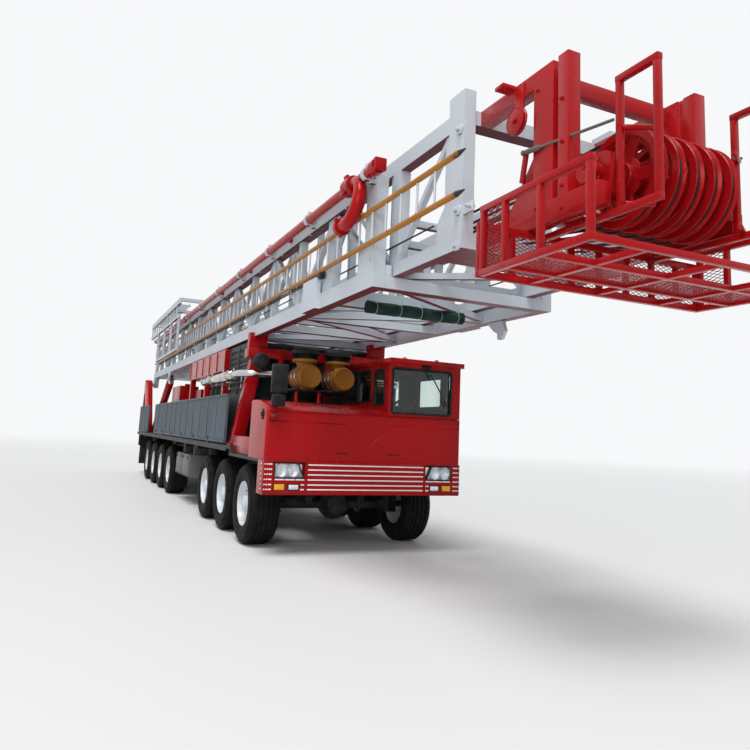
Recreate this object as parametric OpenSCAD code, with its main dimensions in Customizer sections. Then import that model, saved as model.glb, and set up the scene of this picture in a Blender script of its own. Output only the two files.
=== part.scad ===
// Truck-mounted workover rig on a seven-axle carrier, parked with its mast laid forward.
// +X is forward, +Y is the left side, +Z is up. Lengths along X are measured from the
// first axle, and every piece is then shifted so that the origin is under the middle.

/* [Carrier] */
// Width over the deck and the nose
body_w = 3000; // [2800:10:3200]
// Front face of the nose ahead of the first axle
nose_x = 1260; // [1200:10:1400]
// Rear end of the chassis frame behind the first axle
tail_x = -14850; // [-15200:10:-14800]
// Top of the walking deck above the ground
deck_z = 1380; // [1360:5:1450]
// Thickness of the deck plating
deck_t = 50; // [20:5:60]
// Depth of a frame rail
rail_h = 420; // [300:10:440]
// Distance of each frame rail from the centre line
rail_y = 430; // [380:10:450]
// Flange width of a frame rail
rail_w = 180; // [120:10:200]
// Web and flange thickness of a frame rail
rail_t = 25; // [12:1:40]

/* [Wheels] */
// Outer diameter of a tyre
tyre_d = 1150; // [1100:10:1160]
// Width of a tyre
tyre_w = 445; // [400:5:460]
// Diameter of a rim at its flange
rim_d = 620; // [560:10:660]
// Outer face of the tyres from the centre line
wheel_out_y = 1450; // [1440:5:1480]
// Spacing of the three steered axles
steer_pitch = 1470; // [1420:10:1500]
// Distance of the first driven axle behind the first axle
bogie_x = -7600; // [-7700:10:-7500]
// Spacing of the four driven axles
bogie_pitch = 1480; // [1400:10:1520]
// Distance of each kingpin from the centre line
kingpin_y = 930; // [900:5:950]
// Diameter of a kingpin
kingpin_d = 50; // [40:1:60]

/* [Cab] */
// Right wall of the cab from the centre line
cab_in_y = 290; // [260:10:320]
// Rear wall of the cab
cab_rear_x = -420; // [-450:10:-380]
// Top of the cab roof
cab_top_z = 2780; // [2760:10:2820]
// Thickness of the cab walls
cab_t = 45; // [30:1:60]
// Thickness of the cab glass
glass_t = 10; // [6:1:14]

/* [Mast] */
// Underside of the lower mast section when it is laid down
mast_z = 3200; // [3180:5:3260]
// Height of the lower mast section
lower_h = 1250; // [1150:10:1300]
// Outer half width of the lower mast section
lower_y = 1170; // [1140:5:1180]
// Chord width of the lower mast section
lower_c = 140; // [120:5:150]
// Front end of the lower mast section
lower_front_x = 3750; // [3700:10:3800]
// Height of the raising pivot above the ground
pivot_z = 2990; // [2960:5:3020]
// Raising pivot behind the first axle
pivot_x = -14300; // [-14320:10:-14280]
// Diameter of a raising pivot pin
pivot_d = 120; // [100:5:130]
// Height of the upper mast section
upper_h = 1330; // [1250:10:1350]
// Outer half width of the upper mast section
upper_y = 930; // [900:5:940]
// Chord width of the upper mast section
upper_c = 120; // [90:5:130]
// Front end of the upper mast section
upper_front_x = 5100; // [5050:10:5150]
// Rear end of the upper mast section
upper_rear_x = -13300; // [-13400:10:-13200]
// Number of lattice bays in the lower section
lower_bays = 14; // [12:1:16]
// Number of lattice bays in the upper section
upper_bays = 15; // [12:1:17]

/* [Crown] */
// Radius of a crown sheave
sheave_r = 380; // [350:5:390]
// Distance of the crown sheave axle ahead of the upper mast section
sheave_ahead = 1350; // [1330:10:1370]
// Height of the crown sheave axle above the underside of the upper mast section
sheave_up = 300; // [290:5:330]
// Number of crown sheaves
sheave_n = 5; // [3:1:6]
// Distance of the crown platform floor ahead of the upper mast section
cage_ahead = 700; // [690:5:720]
// Length of the crown platform railing
cage_l = 1220; // [1180:10:1300]
// Half width of the crown platform
cage_y = 1200; // [1150:10:1250]

/* [Hidden] */
$fn = 48;

half_w = body_w / 2;
cage_floor_x = upper_front_x + cage_ahead;
cage_front_x = cage_floor_x + cage_l;
tow_l = 140;
shift_x = -(cage_front_x + tail_x - tow_l) / 2;
seat = 0.3;
axle_z = tyre_d / 2;
wheel_mid_y = wheel_out_y - tyre_w / 2;
rail_top = deck_z - deck_t - 60;
rail_bot = rail_top - rail_h;
axle_xs = [
    0, -steer_pitch, -2 * steer_pitch,
    bogie_x, bogie_x - bogie_pitch, bogie_x - 2 * bogie_pitch, bogie_x - 3 * bogie_pitch
];
lower_top = mast_z + lower_h;
lower_in = lower_y - lower_c;
lower_rear_x = pivot_x - 150;
chord_h = 200;
upper_z = mast_z + 140;
upper_top = upper_z + upper_h;
upper_in = upper_y - upper_c;
upper_chord_h = 140;
sheave_x = upper_front_x + sheave_ahead;
sheave_z = upper_z + sheave_up;

red = "#b3161c";
dark = "#2a2a2c";
white = "#e9e9ea";
gold = "#b07a22";
steel = "#9aa0a4";
grey_blue = "#7f8c95";
maroon = "#7d2126";

// A box given by its two faces on each axis
module slab(x, y, z) {
    translate([x[0], y[0], z[0]]) cube([x[1] - x[0], y[1] - y[0], z[1] - z[0]]);
}

// A round bar along X, along Y or along Z
module rod_x(x, y, z, d) {
    translate([x[0], y, z]) rotate([0, 90, 0]) cylinder(h = x[1] - x[0], d = d);
}
module rod_y(x, y, z, d) {
    translate([x, y[0], z]) rotate([-90, 0, 0]) cylinder(h = y[1] - y[0], d = d);
}
module rod_z(x, y, z, d) {
    translate([x, y, z[0]]) cylinder(h = z[1] - z[0], d = d);
}

// A square bar of width w from point a to point b
module brace(a, b, w) {
    v = b - a;
    translate(a)
        rotate([0, acos(v[2] / norm(v)), atan2(v[1], v[0])])
            translate([-w / 2, -w / 2, 0]) cube([w, w, norm(v)]);
}

// A side view outline in X and Z, given a width from y[0] to y[1]
module side_plate(y, points) {
    translate([0, y[1], 0]) rotate([90, 0, 0]) linear_extrude(y[1] - y[0]) polygon(points);
}

// A front view outline in Y and Z, given a length from x[0] to x[1]
module cross_plate(x, points) {
    translate([x[0], 0, 0]) rotate([90, 0, 90]) linear_extrude(x[1] - x[0]) polygon(points);
}

// The shape on both sides of the centre line
module both_sides() {
    children();
    mirror([0, 1, 0]) children();
}

module placed() {
    translate([shift_x, 0, 0]) children();
}

// Frame rails with their cross members, deck brackets and rear towing clevis
cross_xs = [880, -735, -2205, -3800, -5200, -6600, -8340, -9820, -11300, -12900, -14600];
bracket_xs = [-3900, -5300, -6700, -12900, -14500];
bracket_h = 110;
tail_t = 60;
tow_z = rail_bot + 120;
tow_bore = 52;
module chassis_frame() {
    color(dark) placed() {
        both_sides()
            cross_plate([tail_x + tail_t + seat, lamp_back - seat], [
                [rail_y - rail_w / 2, rail_bot], [rail_y + rail_w / 2, rail_bot],
                [rail_y + rail_w / 2, rail_bot + rail_t], [rail_y + rail_t / 2, rail_bot + rail_t],
                [rail_y + rail_t / 2, rail_top - rail_t], [rail_y + rail_w / 2, rail_top - rail_t],
                [rail_y + rail_w / 2, rail_top], [rail_y - rail_w / 2, rail_top],
                [rail_y - rail_w / 2, rail_top - rail_t], [rail_y - rail_t / 2, rail_top - rail_t],
                [rail_y - rail_t / 2, rail_bot + rail_t], [rail_y - rail_w / 2, rail_bot + rail_t]
            ]);
        for (x = cross_xs) {
            slab([x - 60, x + 60], [-rail_y, rail_y], [rail_bot + 90, rail_top - 60]);
            slab([x - 50, x + 50], [-rail_y, rail_y],
                 [rail_top - 61, x > step_x ? rail_top : deck_z - deck_t]);
        }
        slab([tail_x, tail_x + tail_t], [-half_w + 60, half_w - 60],
             [rail_bot + 60, deck_z - deck_t]);
        for (s = [-1, 1]) difference() {
            slab([tail_x - tow_l, tail_x - seat], [s * 60 - 20, s * 60 + 20], [tow_z - 90, tow_z + 90]);
            rod_y(tail_x - tow_l / 2, [-100, 100], tow_z, tow_bore);
        }
        both_sides() {
            for (x = bracket_xs)
                slab([x - 40, x + 40], [rail_y + rail_w / 2 + seat, half_w - 60],
                     [deck_z - deck_t - bracket_h, deck_z - deck_t]);
            slab([tail_x + 20, tail_x + 50], [half_w - 620, half_w - 120],
                 [300, rail_bot + 60 - seat]);
            for (x = [jack_front_x, jack_rear_x]) difference() {
                union() {
                    rod_z(x, jack_y, [jack_tube_z, deck_z - deck_t], jack_d + 100);
                    slab([x - 60, x + 60], [rail_y + rail_w / 2 + seat, jack_y - 40],
                         [rail_bot + 60, rail_top - 60]);
                }
                rod_z(x, jack_y, [jack_tube_z - 1, deck_z], jack_d + 2 * seat);
            }
        }
    }
}

// Three steered axles with leaf springs, and the yokes that hold the kingpins
spring_w = 100;
spring_l = 1100;
hub_r = 48;
boss_r = 62;
boss_h = 180;
module front_axle(x) {
    union() {
        rod_y(x, [-kingpin_y + boss_r - 20, kingpin_y - boss_r + 20], axle_z, 150);
        translate([x, 0, axle_z]) rotate([0, 90, 0]) rotate([0, 0, 90])
            rotate_extrude() polygon([[0, -170], [150, -170], [230, -60], [230, 60], [150, 170], [0, 170]]);
        both_sides() {
            difference() {
                rod_z(x, kingpin_y, [axle_z - boss_h / 2, axle_z + boss_h / 2], 2 * boss_r);
                rod_z(x, kingpin_y, [axle_z - boss_h, axle_z + boss_h], kingpin_d + 2 * seat);
            }
            slab([x - 90, x + 90], [rail_y - 60, rail_y + 60], [axle_z, axle_z + 130]);
            side_plate([rail_y - spring_w / 2, rail_y + spring_w / 2], [
                [x - spring_l / 2, rail_bot - 60], [x - 140, axle_z + 110], [x + 140, axle_z + 110],
                [x + spring_l / 2, rail_bot - 60], [x + spring_l / 2, rail_bot - 30],
                [x + 200, axle_z + 190], [x - 200, axle_z + 190], [x - spring_l / 2, rail_bot - 30]
            ]);
            for (s = [-1, 1])
                slab([x + s * (spring_l / 2 - 40) - 40, x + s * (spring_l / 2 - 40) + 40],
                     [rail_y - 40, rail_y + 40], [rail_bot - 60, rail_bot - seat]);
        }
    }
}

// Four driven axles on two pairs of walking beams, drawn with the steered ones as one node
hub_end_y = wheel_mid_y - tyre_w / 2 + 105;
spindle_end_y = wheel_mid_y + tyre_w / 2 - 140;
module driven_pair(i) {
    for (k = [i, i + 1]) {
        rod_y(axle_xs[k], [-hub_end_y, hub_end_y], axle_z, 130);
        rod_y(axle_xs[k], [-spindle_end_y, spindle_end_y], axle_z, 2 * (hub_r - seat));
        translate([axle_xs[k], 0, axle_z]) rotate([0, 90, 0]) rotate([0, 0, 90])
            rotate_extrude() polygon([[0, -200], [170, -200], [260, -70], [260, 70], [170, 200], [0, 200]]);
    }
    mid = (axle_xs[i] + axle_xs[i + 1]) / 2;
    both_sides() {
        side_plate([rail_y - 60, rail_y + 60], [
            [axle_xs[i + 1] - 130, axle_z - 80], [axle_xs[i] + 130, axle_z - 80],
            [axle_xs[i] + 130, axle_z + 80], [mid + 200, axle_z + 150],
            [mid - 200, axle_z + 150], [axle_xs[i + 1] - 130, axle_z + 80]
        ]);
        side_plate([rail_y - 50, rail_y + 50], [
            [mid - 110, axle_z + 100], [mid + 110, axle_z + 100],
            [mid + 260, rail_bot - seat], [mid - 260, rail_bot - seat]
        ]);
    }
}
module axles() {
    color(dark) placed() {
        for (i = [0:2]) front_axle(axle_xs[i]);
        for (i = [3, 5]) driven_pair(i);
    }
}

// A tyre on its dished disc wheel, turned about Y with its outer face towards +Y
hole_d = 54;
module wheel_shape() {
    w = tyre_w / 2;
    r = tyre_d / 2;
    f = rim_d / 2;
    difference() {
    rotate([-90, 0, 0]) rotate_extrude($fn = 64) polygon([
        [hub_r, -w + 120], [f - 40, -w + 150], [f - 30, -w + 45], [f, -w + 35], [f + 70, -w + 8],
        [r - 120, -w], [r - 45, -w + 12], [r - 6, -w + 50], [r, -w + 110], [r, w - 110],
        [r - 6, w - 50], [r - 45, w - 12], [r - 120, w], [f + 70, w - 8], [f, w - 35],
        [f - 12, w - 45], [f - 40, w - 95], [f - 120, w - 120], [170, w - 105],
        [120, w - 95], [100, w - 60], [0, w - 55], [0, w - 130], [hub_r, w - 130]
    ]);
    for (a = [0 : 36 : 359]) rotate([0, a, 0]) rod_y(f - 82, [w - 165, w - 60], 0, hole_d);
    }
}
module wheel_at(i, side) {
    color(dark) placed() translate([axle_xs[i], side * wheel_mid_y, axle_z])
        mirror([0, side < 0 ? 1 : 0, 0]) wheel_shape();
}

// A steering knuckle: two plates on the kingpin, a web and the wheel spindle
plate_t = 35;
knuckle_gap = 2;
module knuckle_at(i, side) {
    color(dark) placed() translate([axle_xs[i], 0, axle_z]) mirror([0, side < 0 ? 1 : 0, 0]) {
        for (s = [-1, 1])
            slab([-75, 75], [kingpin_y - 75, kingpin_y + 130],
                 s < 0 ? [-boss_h / 2 - knuckle_gap - plate_t, -boss_h / 2 - knuckle_gap]
                       : [boss_h / 2 + knuckle_gap, boss_h / 2 + knuckle_gap + plate_t]);
        slab([-75, 75], [kingpin_y + 90, kingpin_y + 130],
             [-boss_h / 2 - plate_t, boss_h / 2 + plate_t]);
        rod_z(0, kingpin_y, [-boss_h / 2 - 30, boss_h / 2 + 30], kingpin_d);
        rod_y(0, [kingpin_y + 100, spindle_end_y], 0, 2 * (hub_r - seat));
    }
}

// The nose: one pressed shell over the front end, open below and behind
nose_bot = 1270;
nose_brow = 1930;
nose_back = 420;
nose_t = 30;
module nose_outline(t) {
    polygon([
        [nose_back, nose_bot], [nose_x - t, nose_bot], [nose_x - t, nose_brow - t],
        [nose_x - 60 - t, nose_brow + 50 - t], [nose_x - 500, 2070 - t], [nose_back, 2085 - t]
    ]);
}
module nose() {
    color(red) placed() {
        difference() {
            translate([0, cab_in_y - 1, 0]) rotate([90, 0, 0])
                linear_extrude(half_w + cab_in_y - 1) nose_outline(0);
            translate([-1, cab_in_y, -1]) rotate([90, 0, 0])
                linear_extrude(half_w + cab_in_y - nose_t) nose_outline(nose_t);
        }
        difference() {
            slab([nose_x - 90, nose_x], [cab_in_y - 1, half_w], [nose_bot, nose_brow]);
            slab([nose_x - 100, nose_x - nose_t], [cab_in_y - 2, half_w - nose_t],
                 [nose_bot - 1, nose_brow - nose_t]);
        }
    }
}

// The lamp panel below the nose, with raised bands and a lamp unit at each end
lamp_bot = 810;
lamp_back = 950;
band_n = 6;
module lamp_panel() {
    color(red) placed() {
        difference() {
            slab([lamp_back, nose_x + 10], [-half_w, half_w], [lamp_bot, nose_bot - seat]);
            slab([lamp_back - 1, nose_x - 30], [-half_w + 40, half_w - 40],
                 [lamp_bot - 1, nose_bot - 40]);
            for (s = [-1, 1])
                slab([nose_x - 5, nose_x + 20], [s * 1180 - 190, s * 1180 + 190], [1010, 1220]);
        }
        for (i = [0:band_n - 1])
            slab([nose_x + 5, nose_x + 16], [-900, 900],
                 [lamp_bot + 60 + i * 66, lamp_bot + 78 + i * 66]);
        for (s = [-1, 1]) for (k = [0, 1])
            slab([nose_x - 6, nose_x + 4], [s * 1180 - 180 + k * 185, s * 1180 - 10 + k * 185],
                 [1020, 1210]);
    }
}

// Cab: floor, walls and roof as one welded shell, its windows and doorway cut right through
cab_floor_z = deck_z + 10;
visor = 60;
door_x = [-160, 800];
door_z = [cab_floor_z + 60, 2680];
screen_z = [1985, 2640];
screen_y = [350, 1340];
module cab_shell() {
    color(red) placed() {
        difference() {
            slab([cab_rear_x, nose_x - 30], [cab_in_y, half_w], [cab_floor_z, cab_top_z - 40]);
            slab([cab_rear_x + cab_t, nose_x - 30 - cab_t], [cab_in_y + cab_t, half_w - cab_t],
                 [cab_floor_z + cab_t, cab_top_z - 40 - cab_t]);
            slab([nose_x - 100, nose_x + 1], [cab_in_y - 10, half_w + 1],
                 [cab_floor_z - 1, nose_brow + 5]);
            slab([nose_x - 200, nose_x], screen_y, screen_z);
            slab([door_x[0], door_x[1]], [half_w - 100, half_w + 10], door_z);
            slab([-330, 600], [cab_in_y - 10, cab_in_y + 100], [2150, 2650]);
            slab([720, 1090], [cab_in_y - 10, cab_in_y + 100], [2100, 2630]);
            slab([880, 1120], [half_w - 100, half_w + 10], [2150, 2650]);
            slab([cab_rear_x - 10, cab_rear_x + 100], [cab_in_y + 200, half_w - 200], [2150, 2600]);
        }
        slab([nose_x - 90 - cab_t, nose_x - 91], [cab_in_y, half_w], [cab_floor_z, nose_brow + 6]);
        slab([cab_rear_x - 20, nose_x + visor], [cab_in_y - 20, half_w + 10],
             [cab_top_z - 41, cab_top_z]);
        for (x = [-300, 900]) {
            slab([x - 60, x + 60], [cab_in_y + 40, rail_y + 70], [rail_top + 40 + seat, cab_floor_z + 1]);
            slab([x - 60, x + 60], [half_w - 200, half_w - 80], [nose_bot, cab_floor_z + 1]);
        }
    }
}

// Fixed glass of the cab, each pane in the middle of its wall
module cab_glass() {
    color("#9fb4bd") placed() {
        slab([nose_x - 60, nose_x - 60 + glass_t], [screen_y[0] + seat, screen_y[1] - seat],
             [screen_z[0] + seat, screen_z[1] - seat]);
        slab([-330 + seat, 600 - seat], [cab_in_y + 18, cab_in_y + 18 + glass_t],
             [2150 + seat, 2650 - seat]);
        slab([720 + seat, 1090 - seat], [cab_in_y + 18, cab_in_y + 18 + glass_t],
             [2100 + seat, 2630 - seat]);
        slab([880 + seat, 1120 - seat], [half_w - 28, half_w - 28 + glass_t],
             [2150 + seat, 2650 - seat]);
        slab([cab_rear_x + 18, cab_rear_x + 18 + glass_t],
             [cab_in_y + 200 + seat, half_w - 200 - seat], [2150 + seat, 2600 - seat]);
    }
}

// Driver's seat, dash and steering wheel
seat_y = 900;
module cab_interior() {
    color(dark) placed() {
        slab([-180, 120], [seat_y - 180, seat_y + 180],
             [cab_floor_z + cab_t + seat, cab_floor_z + 330]);
        slab([-240, 270], [seat_y - 250, seat_y + 250], [cab_floor_z + 329, cab_floor_z + 450]);
        slab([-300, -240 - seat], [seat_y - 240, seat_y + 240], [cab_floor_z + 330, cab_floor_z + 1060]);
        slab([860, nose_x - 91 - cab_t - seat], [cab_in_y + 80, half_w - 80],
             [cab_floor_z + cab_t + seat, 1990]);
        brace([860 - seat - 30, seat_y, 1850], [538, seat_y, 2066], 50);
        slab([790, 860 - seat], [seat_y - 40, seat_y + 40], [1790, 1880]);
        translate([550, seat_y, 2058]) rotate([0, -50, 0]) difference() {
            cylinder(h = 30, d = 460);
            translate([0, 0, -1]) cylinder(h = 32, d = 400);
        }
        translate([550, seat_y, 2070]) rotate([0, -50, 0]) slab([-205, 205], [-20, 20], [-8, 10]);
    }
}

// The door in the left wall, hinged at its front edge
door_gap = 6;
module cab_door() {
    color(red) placed() {
        difference() {
            slab([door_x[0] + door_gap, door_x[1] - door_gap], [half_w - cab_t, half_w],
                 [door_z[0] + door_gap, door_z[1] - door_gap]);
            slab([door_x[0] + 100, door_x[1] - 100], [half_w - 60, half_w + 10], [2130, 2600]);
        }
        slab([door_x[0] + 99, door_x[1] - 99], [half_w - 28, half_w - 18], [2129, 2601]);
        for (z = [1650, 2450]) {
            rod_z(door_x[1] + 6, half_w + 12 + seat, [z - 60, z + 60], 24);
            slab([door_x[1] - 60, door_x[1] + 4], [half_w + seat, half_w + 14], [z - 50, z + 50]);
            slab([door_x[1] - 60, door_x[1] - door_gap], [half_w - 1, half_w + 1], [z - 50, z + 50]);
        }
    }
}

// Walking deck with its edge rail, dropping to a step beside the nose
step_x = -760;
step_t = 40;
module deck() {
    color("#3a3c40") placed() {
        slab([tail_x, step_x], [-half_w, half_w], [deck_z - deck_t, deck_z]);
        both_sides() {
            slab([step_x - 1, lamp_back - 10], [half_w - 560, half_w],
                 [nose_bot - seat - step_t, nose_bot - seat]);
            slab([step_x - step_t, step_x], [half_w - 560, half_w],
                 [nose_bot - seat - step_t, deck_z - deck_t + 1]);
            slab([tail_x, step_x - 300], [half_w - 20, half_w], [deck_z - 90, deck_z - 20]);
        }
        slab([step_x - 1, nose_x - 200], [shelf_post_ys[0] - 60, rail_y + 90],
             [rail_top, rail_top + 40]);
        slab([step_x - 40, step_x], [shelf_post_ys[0] - 60, rail_y + 90],
             [rail_top, deck_z - deck_t + 1]);
    }
}

// Tool box under the right deck edge and fuel tank under the left one
box_x = [-6450, -4770];
box_z = [580, 1050];
module side_boxes() {
    color("#6b6f73") placed() {
        slab(box_x, [-half_w + 90, -half_w + 640], box_z);
        for (k = [0, 1])
            slab([box_x[0] + 25 + k * 840, box_x[0] + 815 + k * 840],
                 [-half_w + 75, -half_w + 91], [box_z[0] + 25, box_z[1] - 25]);
        for (x = [box_x[0] + 200, box_x[1] - 200])
            slab([x - 40, x + 40], [-half_w + 200, -half_w + 560],
                 [box_z[1] - 1, deck_z - deck_t - seat]);
        rod_x([-6400, -4700], half_w - 400, 800, 520);
        for (x = [-6100, -5000]) slab([x - 40, x + 40], [half_w - 480, half_w - 320],
                                      [1050, deck_z - deck_t - seat]);
    }
}

// Portal over the front of the deck: leaning legs, their base beams, a cradle for each
// mast chord and the shelf for the air cleaners
saddle_y = lower_y - lower_c / 2;
portal_x = [-1200, -920];
portal_z = [2840, 3000];
leg_x = [-1160, -960];
leg_foot_y = [half_w - 260, half_w - 55];
leg_top_y = [990, 1195];
base_top = 1545;
shelf_y = [-800, 200];
shelf_z = 2310;
shelf_post_ys = [-700, -330];
module portal_base(front) {
    side_plate(leg_foot_y, [
        [leg_x[1] + seat, deck_z + seat], [step_x + seat, deck_z + seat],
        [step_x + seat, nose_bot], [max(front, step_x + 60), nose_bot],
        [max(front, step_x + 60), base_top], [leg_x[1] + seat, base_top]
    ]);
}
module front_support() {
    color(red) placed() {
        both_sides() {
            cross_plate(leg_x, [
                [leg_foot_y[0], deck_z + seat], [leg_foot_y[1], deck_z + seat],
                [leg_top_y[1], portal_z[0] - seat], [leg_top_y[0], portal_z[0] - seat]
            ]);
            difference() {
                slab([-1130, -980], [lower_in - 90, lower_y + 80], [portal_z[1] + seat, mast_z + 60]);
                slab([-1140, -970], [lower_in - 8, lower_y + 8], [mast_z - seat, mast_z + 70]);
            }
        }
        mirror([0, 1, 0]) portal_base(nose_back - seat);
        portal_base(cab_rear_x - 30);
        slab(portal_x, [-lower_y - 100, lower_y + 100], portal_z);
        slab([portal_x[1] + 60 + seat, 60], shelf_y, [shelf_z - 30, shelf_z]);
        for (y = [shelf_y[0] + 80, shelf_y[1] - 80]) {
            slab([portal_x[1], portal_x[1] + 60], [y - 40, y + 40], [deck_z + seat, portal_z[1]]);
        }
        for (y = shelf_post_ys)
            rod_z(0, y, [rail_top + 40 + seat, shelf_z - 30 - seat], 60);
    }
}

// Power units on the deck: radiator stacks, two engine blocks and their gearboxes
module engines() {
    color("#303236") placed() {
        difference() {
            slab([-2760, -1300], [-1150, 1150], [deck_z + seat, 3150]);
            for (z = [1500 : 100 : 3000]) slab([-1320, -1299], [-1000, 1000], [z, z + 50]);
            for (z = [2300 : 100 : 3000]) for (s = [-1, 1])
                slab([-2660, -1400], [s * 1150 - 20, s * 1150 + 20], [z, z + 50]);
        }
        for (y = [-600, 600]) {
            slab([-5400, -2900], [y - 420, y + 420], [deck_z + seat, 2600]);
            slab([-6500, -5401], [y - 300, y + 300], [deck_z + seat, 2200]);
        }
    }
}

// Intake air cleaners, their necks and rain caps
cleaner_z = 2500;
cleaner_ys = [-545, 15];
cleaner_d = 370;
cleaner_neck_x = -150;
module air_cleaners() {
    color(gold) placed() for (y = cleaner_ys) {
        rod_x([-430, 60], y, cleaner_z, cleaner_d);
        for (x = [-350, -20]) rod_x([x, x + 30], y, cleaner_z, cleaner_d + 8);
        rod_x([59, 200], y, cleaner_z, cleaner_d - 20);
        rod_z(cleaner_neck_x, y, [cleaner_z, 2741], 250);
        rod_z(cleaner_neck_x, y, [2740, 2790], 400);
        rod_z(cleaner_neck_x, y, [2789, 2860], 340);
        rod_z(cleaner_neck_x, y, [2859, 2925], 460);
        rod_z(cleaner_neck_x, y, [2924, 2985], 400);
        for (x = [-330, 0]) slab([x, x + 60], [y - 110, y + 110], [shelf_z + seat, cleaner_z]);
    }
}

// Exhaust pipes along both edges of the power units
pipe_bend_x = -850;
pipe_bend_r = 300;
module exhausts() {
    color(steel) placed() both_sides() {
        rod_x([-3700, pipe_bend_x], half_w - 60, 2540, 116);
        rod_x([-3710, -3660], half_w - 60, 2540, 150);
        rod_x([-3250, -1600], half_w - 75, 2540, 170);
        translate([pipe_bend_x, half_w - 60 - pipe_bend_r, 2540])
            rotate_extrude(angle = 90) translate([pipe_bend_r, 0]) circle(d = 116);
        rod_y(pipe_bend_x + pipe_bend_r, [700, half_w - 59 - pipe_bend_r], 2540, 116);
        for (x = [-2650, -1750])
            slab([x - 25, x + 25], [1150 + seat, half_w - 60], [2520, 2560]);
    }
}

// Red tanks and guards behind the radiators
hood_x = [-6700, -2900];
hood_y = 1220;
hood_z = [2740, 3160];
hood_bays = 5;
module machine_housing() {
    color(red) placed() {
        slab(hood_x, [-hood_y, hood_y], hood_z);
        both_sides() for (i = [0:hood_bays]) {
            x = hood_x[0] + i * (hood_x[1] - hood_x[0] - 40) / hood_bays;
            slab([x, x + 40], [hood_y - 1, hood_y + 15], [hood_z[0] + 20, hood_z[1] - 20]);
        }
        both_sides() for (x = [hood_x[0] + 100, (hood_x[0] + hood_x[1]) / 2, hood_x[1] - 100])
            slab([x - 60, x + 60], [hood_y - 120, hood_y], [deck_z + seat, hood_z[0] - seat]);
        slab([-9900, -6760], [-1180, 1180], [deck_z + seat, 2300]);
        both_sides() slab([-9700, -8400], [700, 1180], [2300 + seat, 2700]);
        slab([-8300, -6900], [-900, 900], [2300 + seat, 2560]);
    }
}

// Drawworks side frames that carry the drum
drum_x = -11200;
drum_z = 2060;
drum_shaft = 160;
module drawworks_frame() {
    color(red) placed() {
        both_sides() difference() {
            side_plate([680, 740], [
                [drum_x - 750, deck_z + seat], [drum_x + 750, deck_z + seat],
                [drum_x + 700, drum_z + 350], [drum_x + 300, drum_z + 620],
                [drum_x - 300, drum_z + 620], [drum_x - 700, drum_z + 350]
            ]);
            rod_y(drum_x, [600, 800], drum_z, drum_shaft + 2 * seat);
        }
        for (x = [drum_x - 700, drum_x + 640])
            slab([x, x + 60], [-680, 680], [deck_z + seat, deck_z + 200]);
    }
}

// The winding drum with its flanges, brake rims and shaft
drum_r = 310;
drum_half = 540;
groove_n = 18;
module drawworks_drum() {
    lead = 2 * drum_half / groove_n;
    color(steel) placed() {
        rod_y(drum_x, [-780, 780], drum_z, drum_shaft);
        translate([drum_x, 0, drum_z]) rotate([-90, 0, 0]) rotate_extrude() polygon(concat(
            [[0, -drum_half], [drum_r, -drum_half]],
            [for (i = [0:groove_n - 1]) each [
                [drum_r + 14, -drum_half + (i + 0.5) * lead],
                [drum_r, -drum_half + (i + 1) * lead]
            ]],
            [[0, drum_half]]
        ));
        both_sides() {
            rod_y(drum_x, [drum_half, drum_half + 40], drum_z, 1100);
            rod_y(drum_x, [drum_half + 39, drum_half + 120], drum_z, 980);
        }
    }
}

// Rear frame on the deck that carries the raising pivots and the cylinder feet
cyl_y = saddle_y;
cyl_foot = [pivot_x + 800, pivot_z - 1480];
foot_pin = 90;
base_y = [lower_y + 60, half_w - 60];
module mast_base() {
    color(red) placed() {
        both_sides() {
            difference() {
                side_plate(base_y, [
                    [pivot_x - 500, deck_z + seat], [pivot_x + 1300, deck_z + seat],
                    [pivot_x + 160, pivot_z + 40], [pivot_x + 60, pivot_z + 140],
                    [pivot_x - 60, pivot_z + 140], [pivot_x - 160, pivot_z + 40]
                ]);
                rod_y(pivot_x, [lower_y, half_w], pivot_z, pivot_d + 2 * seat);
                side_plate([lower_y, half_w], [
                    [pivot_x - 250, deck_z + 250], [pivot_x + 850, deck_z + 250],
                    [pivot_x + 80, pivot_z - 300], [pivot_x - 80, pivot_z - 300]
                ]);
            }
            for (s = [-1, 1])
                slab([cyl_foot[0] - 140, cyl_foot[0] + 140],
                     [cyl_y + s * 100 - 20, cyl_y + s * 100 + 20],
                     [deck_z + seat, cyl_foot[1] + 80]);
            rod_y(cyl_foot[0], [cyl_y - 125, cyl_y + 125], cyl_foot[1], foot_pin);
        }
        slab([pivot_x - 500, pivot_x - 440], [-base_y[0] + seat, base_y[0] - seat],
             [deck_z + seat, deck_z + 220]);
    }
}

// The pair of rear view mirrors on their arm, and the round intake cover behind the nose
mirror_y = -1400;
mirror_z = [1975, 2135, 2150, 2535];
module mirrors() {
    color(dark) placed() {
        slab([nose_x + 110, nose_x + 190], [mirror_y - 110, mirror_y + 110],
             [mirror_z[2], mirror_z[3]]);
        slab([nose_x + 110, nose_x + 190], [mirror_y - 90, mirror_y + 90],
             [mirror_z[0], mirror_z[1]]);
        rod_z(nose_x + 150, mirror_y, [mirror_z[1] - 1, mirror_z[2] + 1], 40);
        rod_z(nose_x - 80, mirror_y, [nose_brow + 50 + 35 * 90 / 440 + seat, 2100], 30);
        brace([nose_x + 115, mirror_y, 2085], [nose_x - 80, mirror_y, 2085], 30);
        rod_x([leg_x[1] + seat, -520], -1160, 2740, 40);
        rod_x([-521, -440], -1160, 2740, 270);
    }
}

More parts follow.
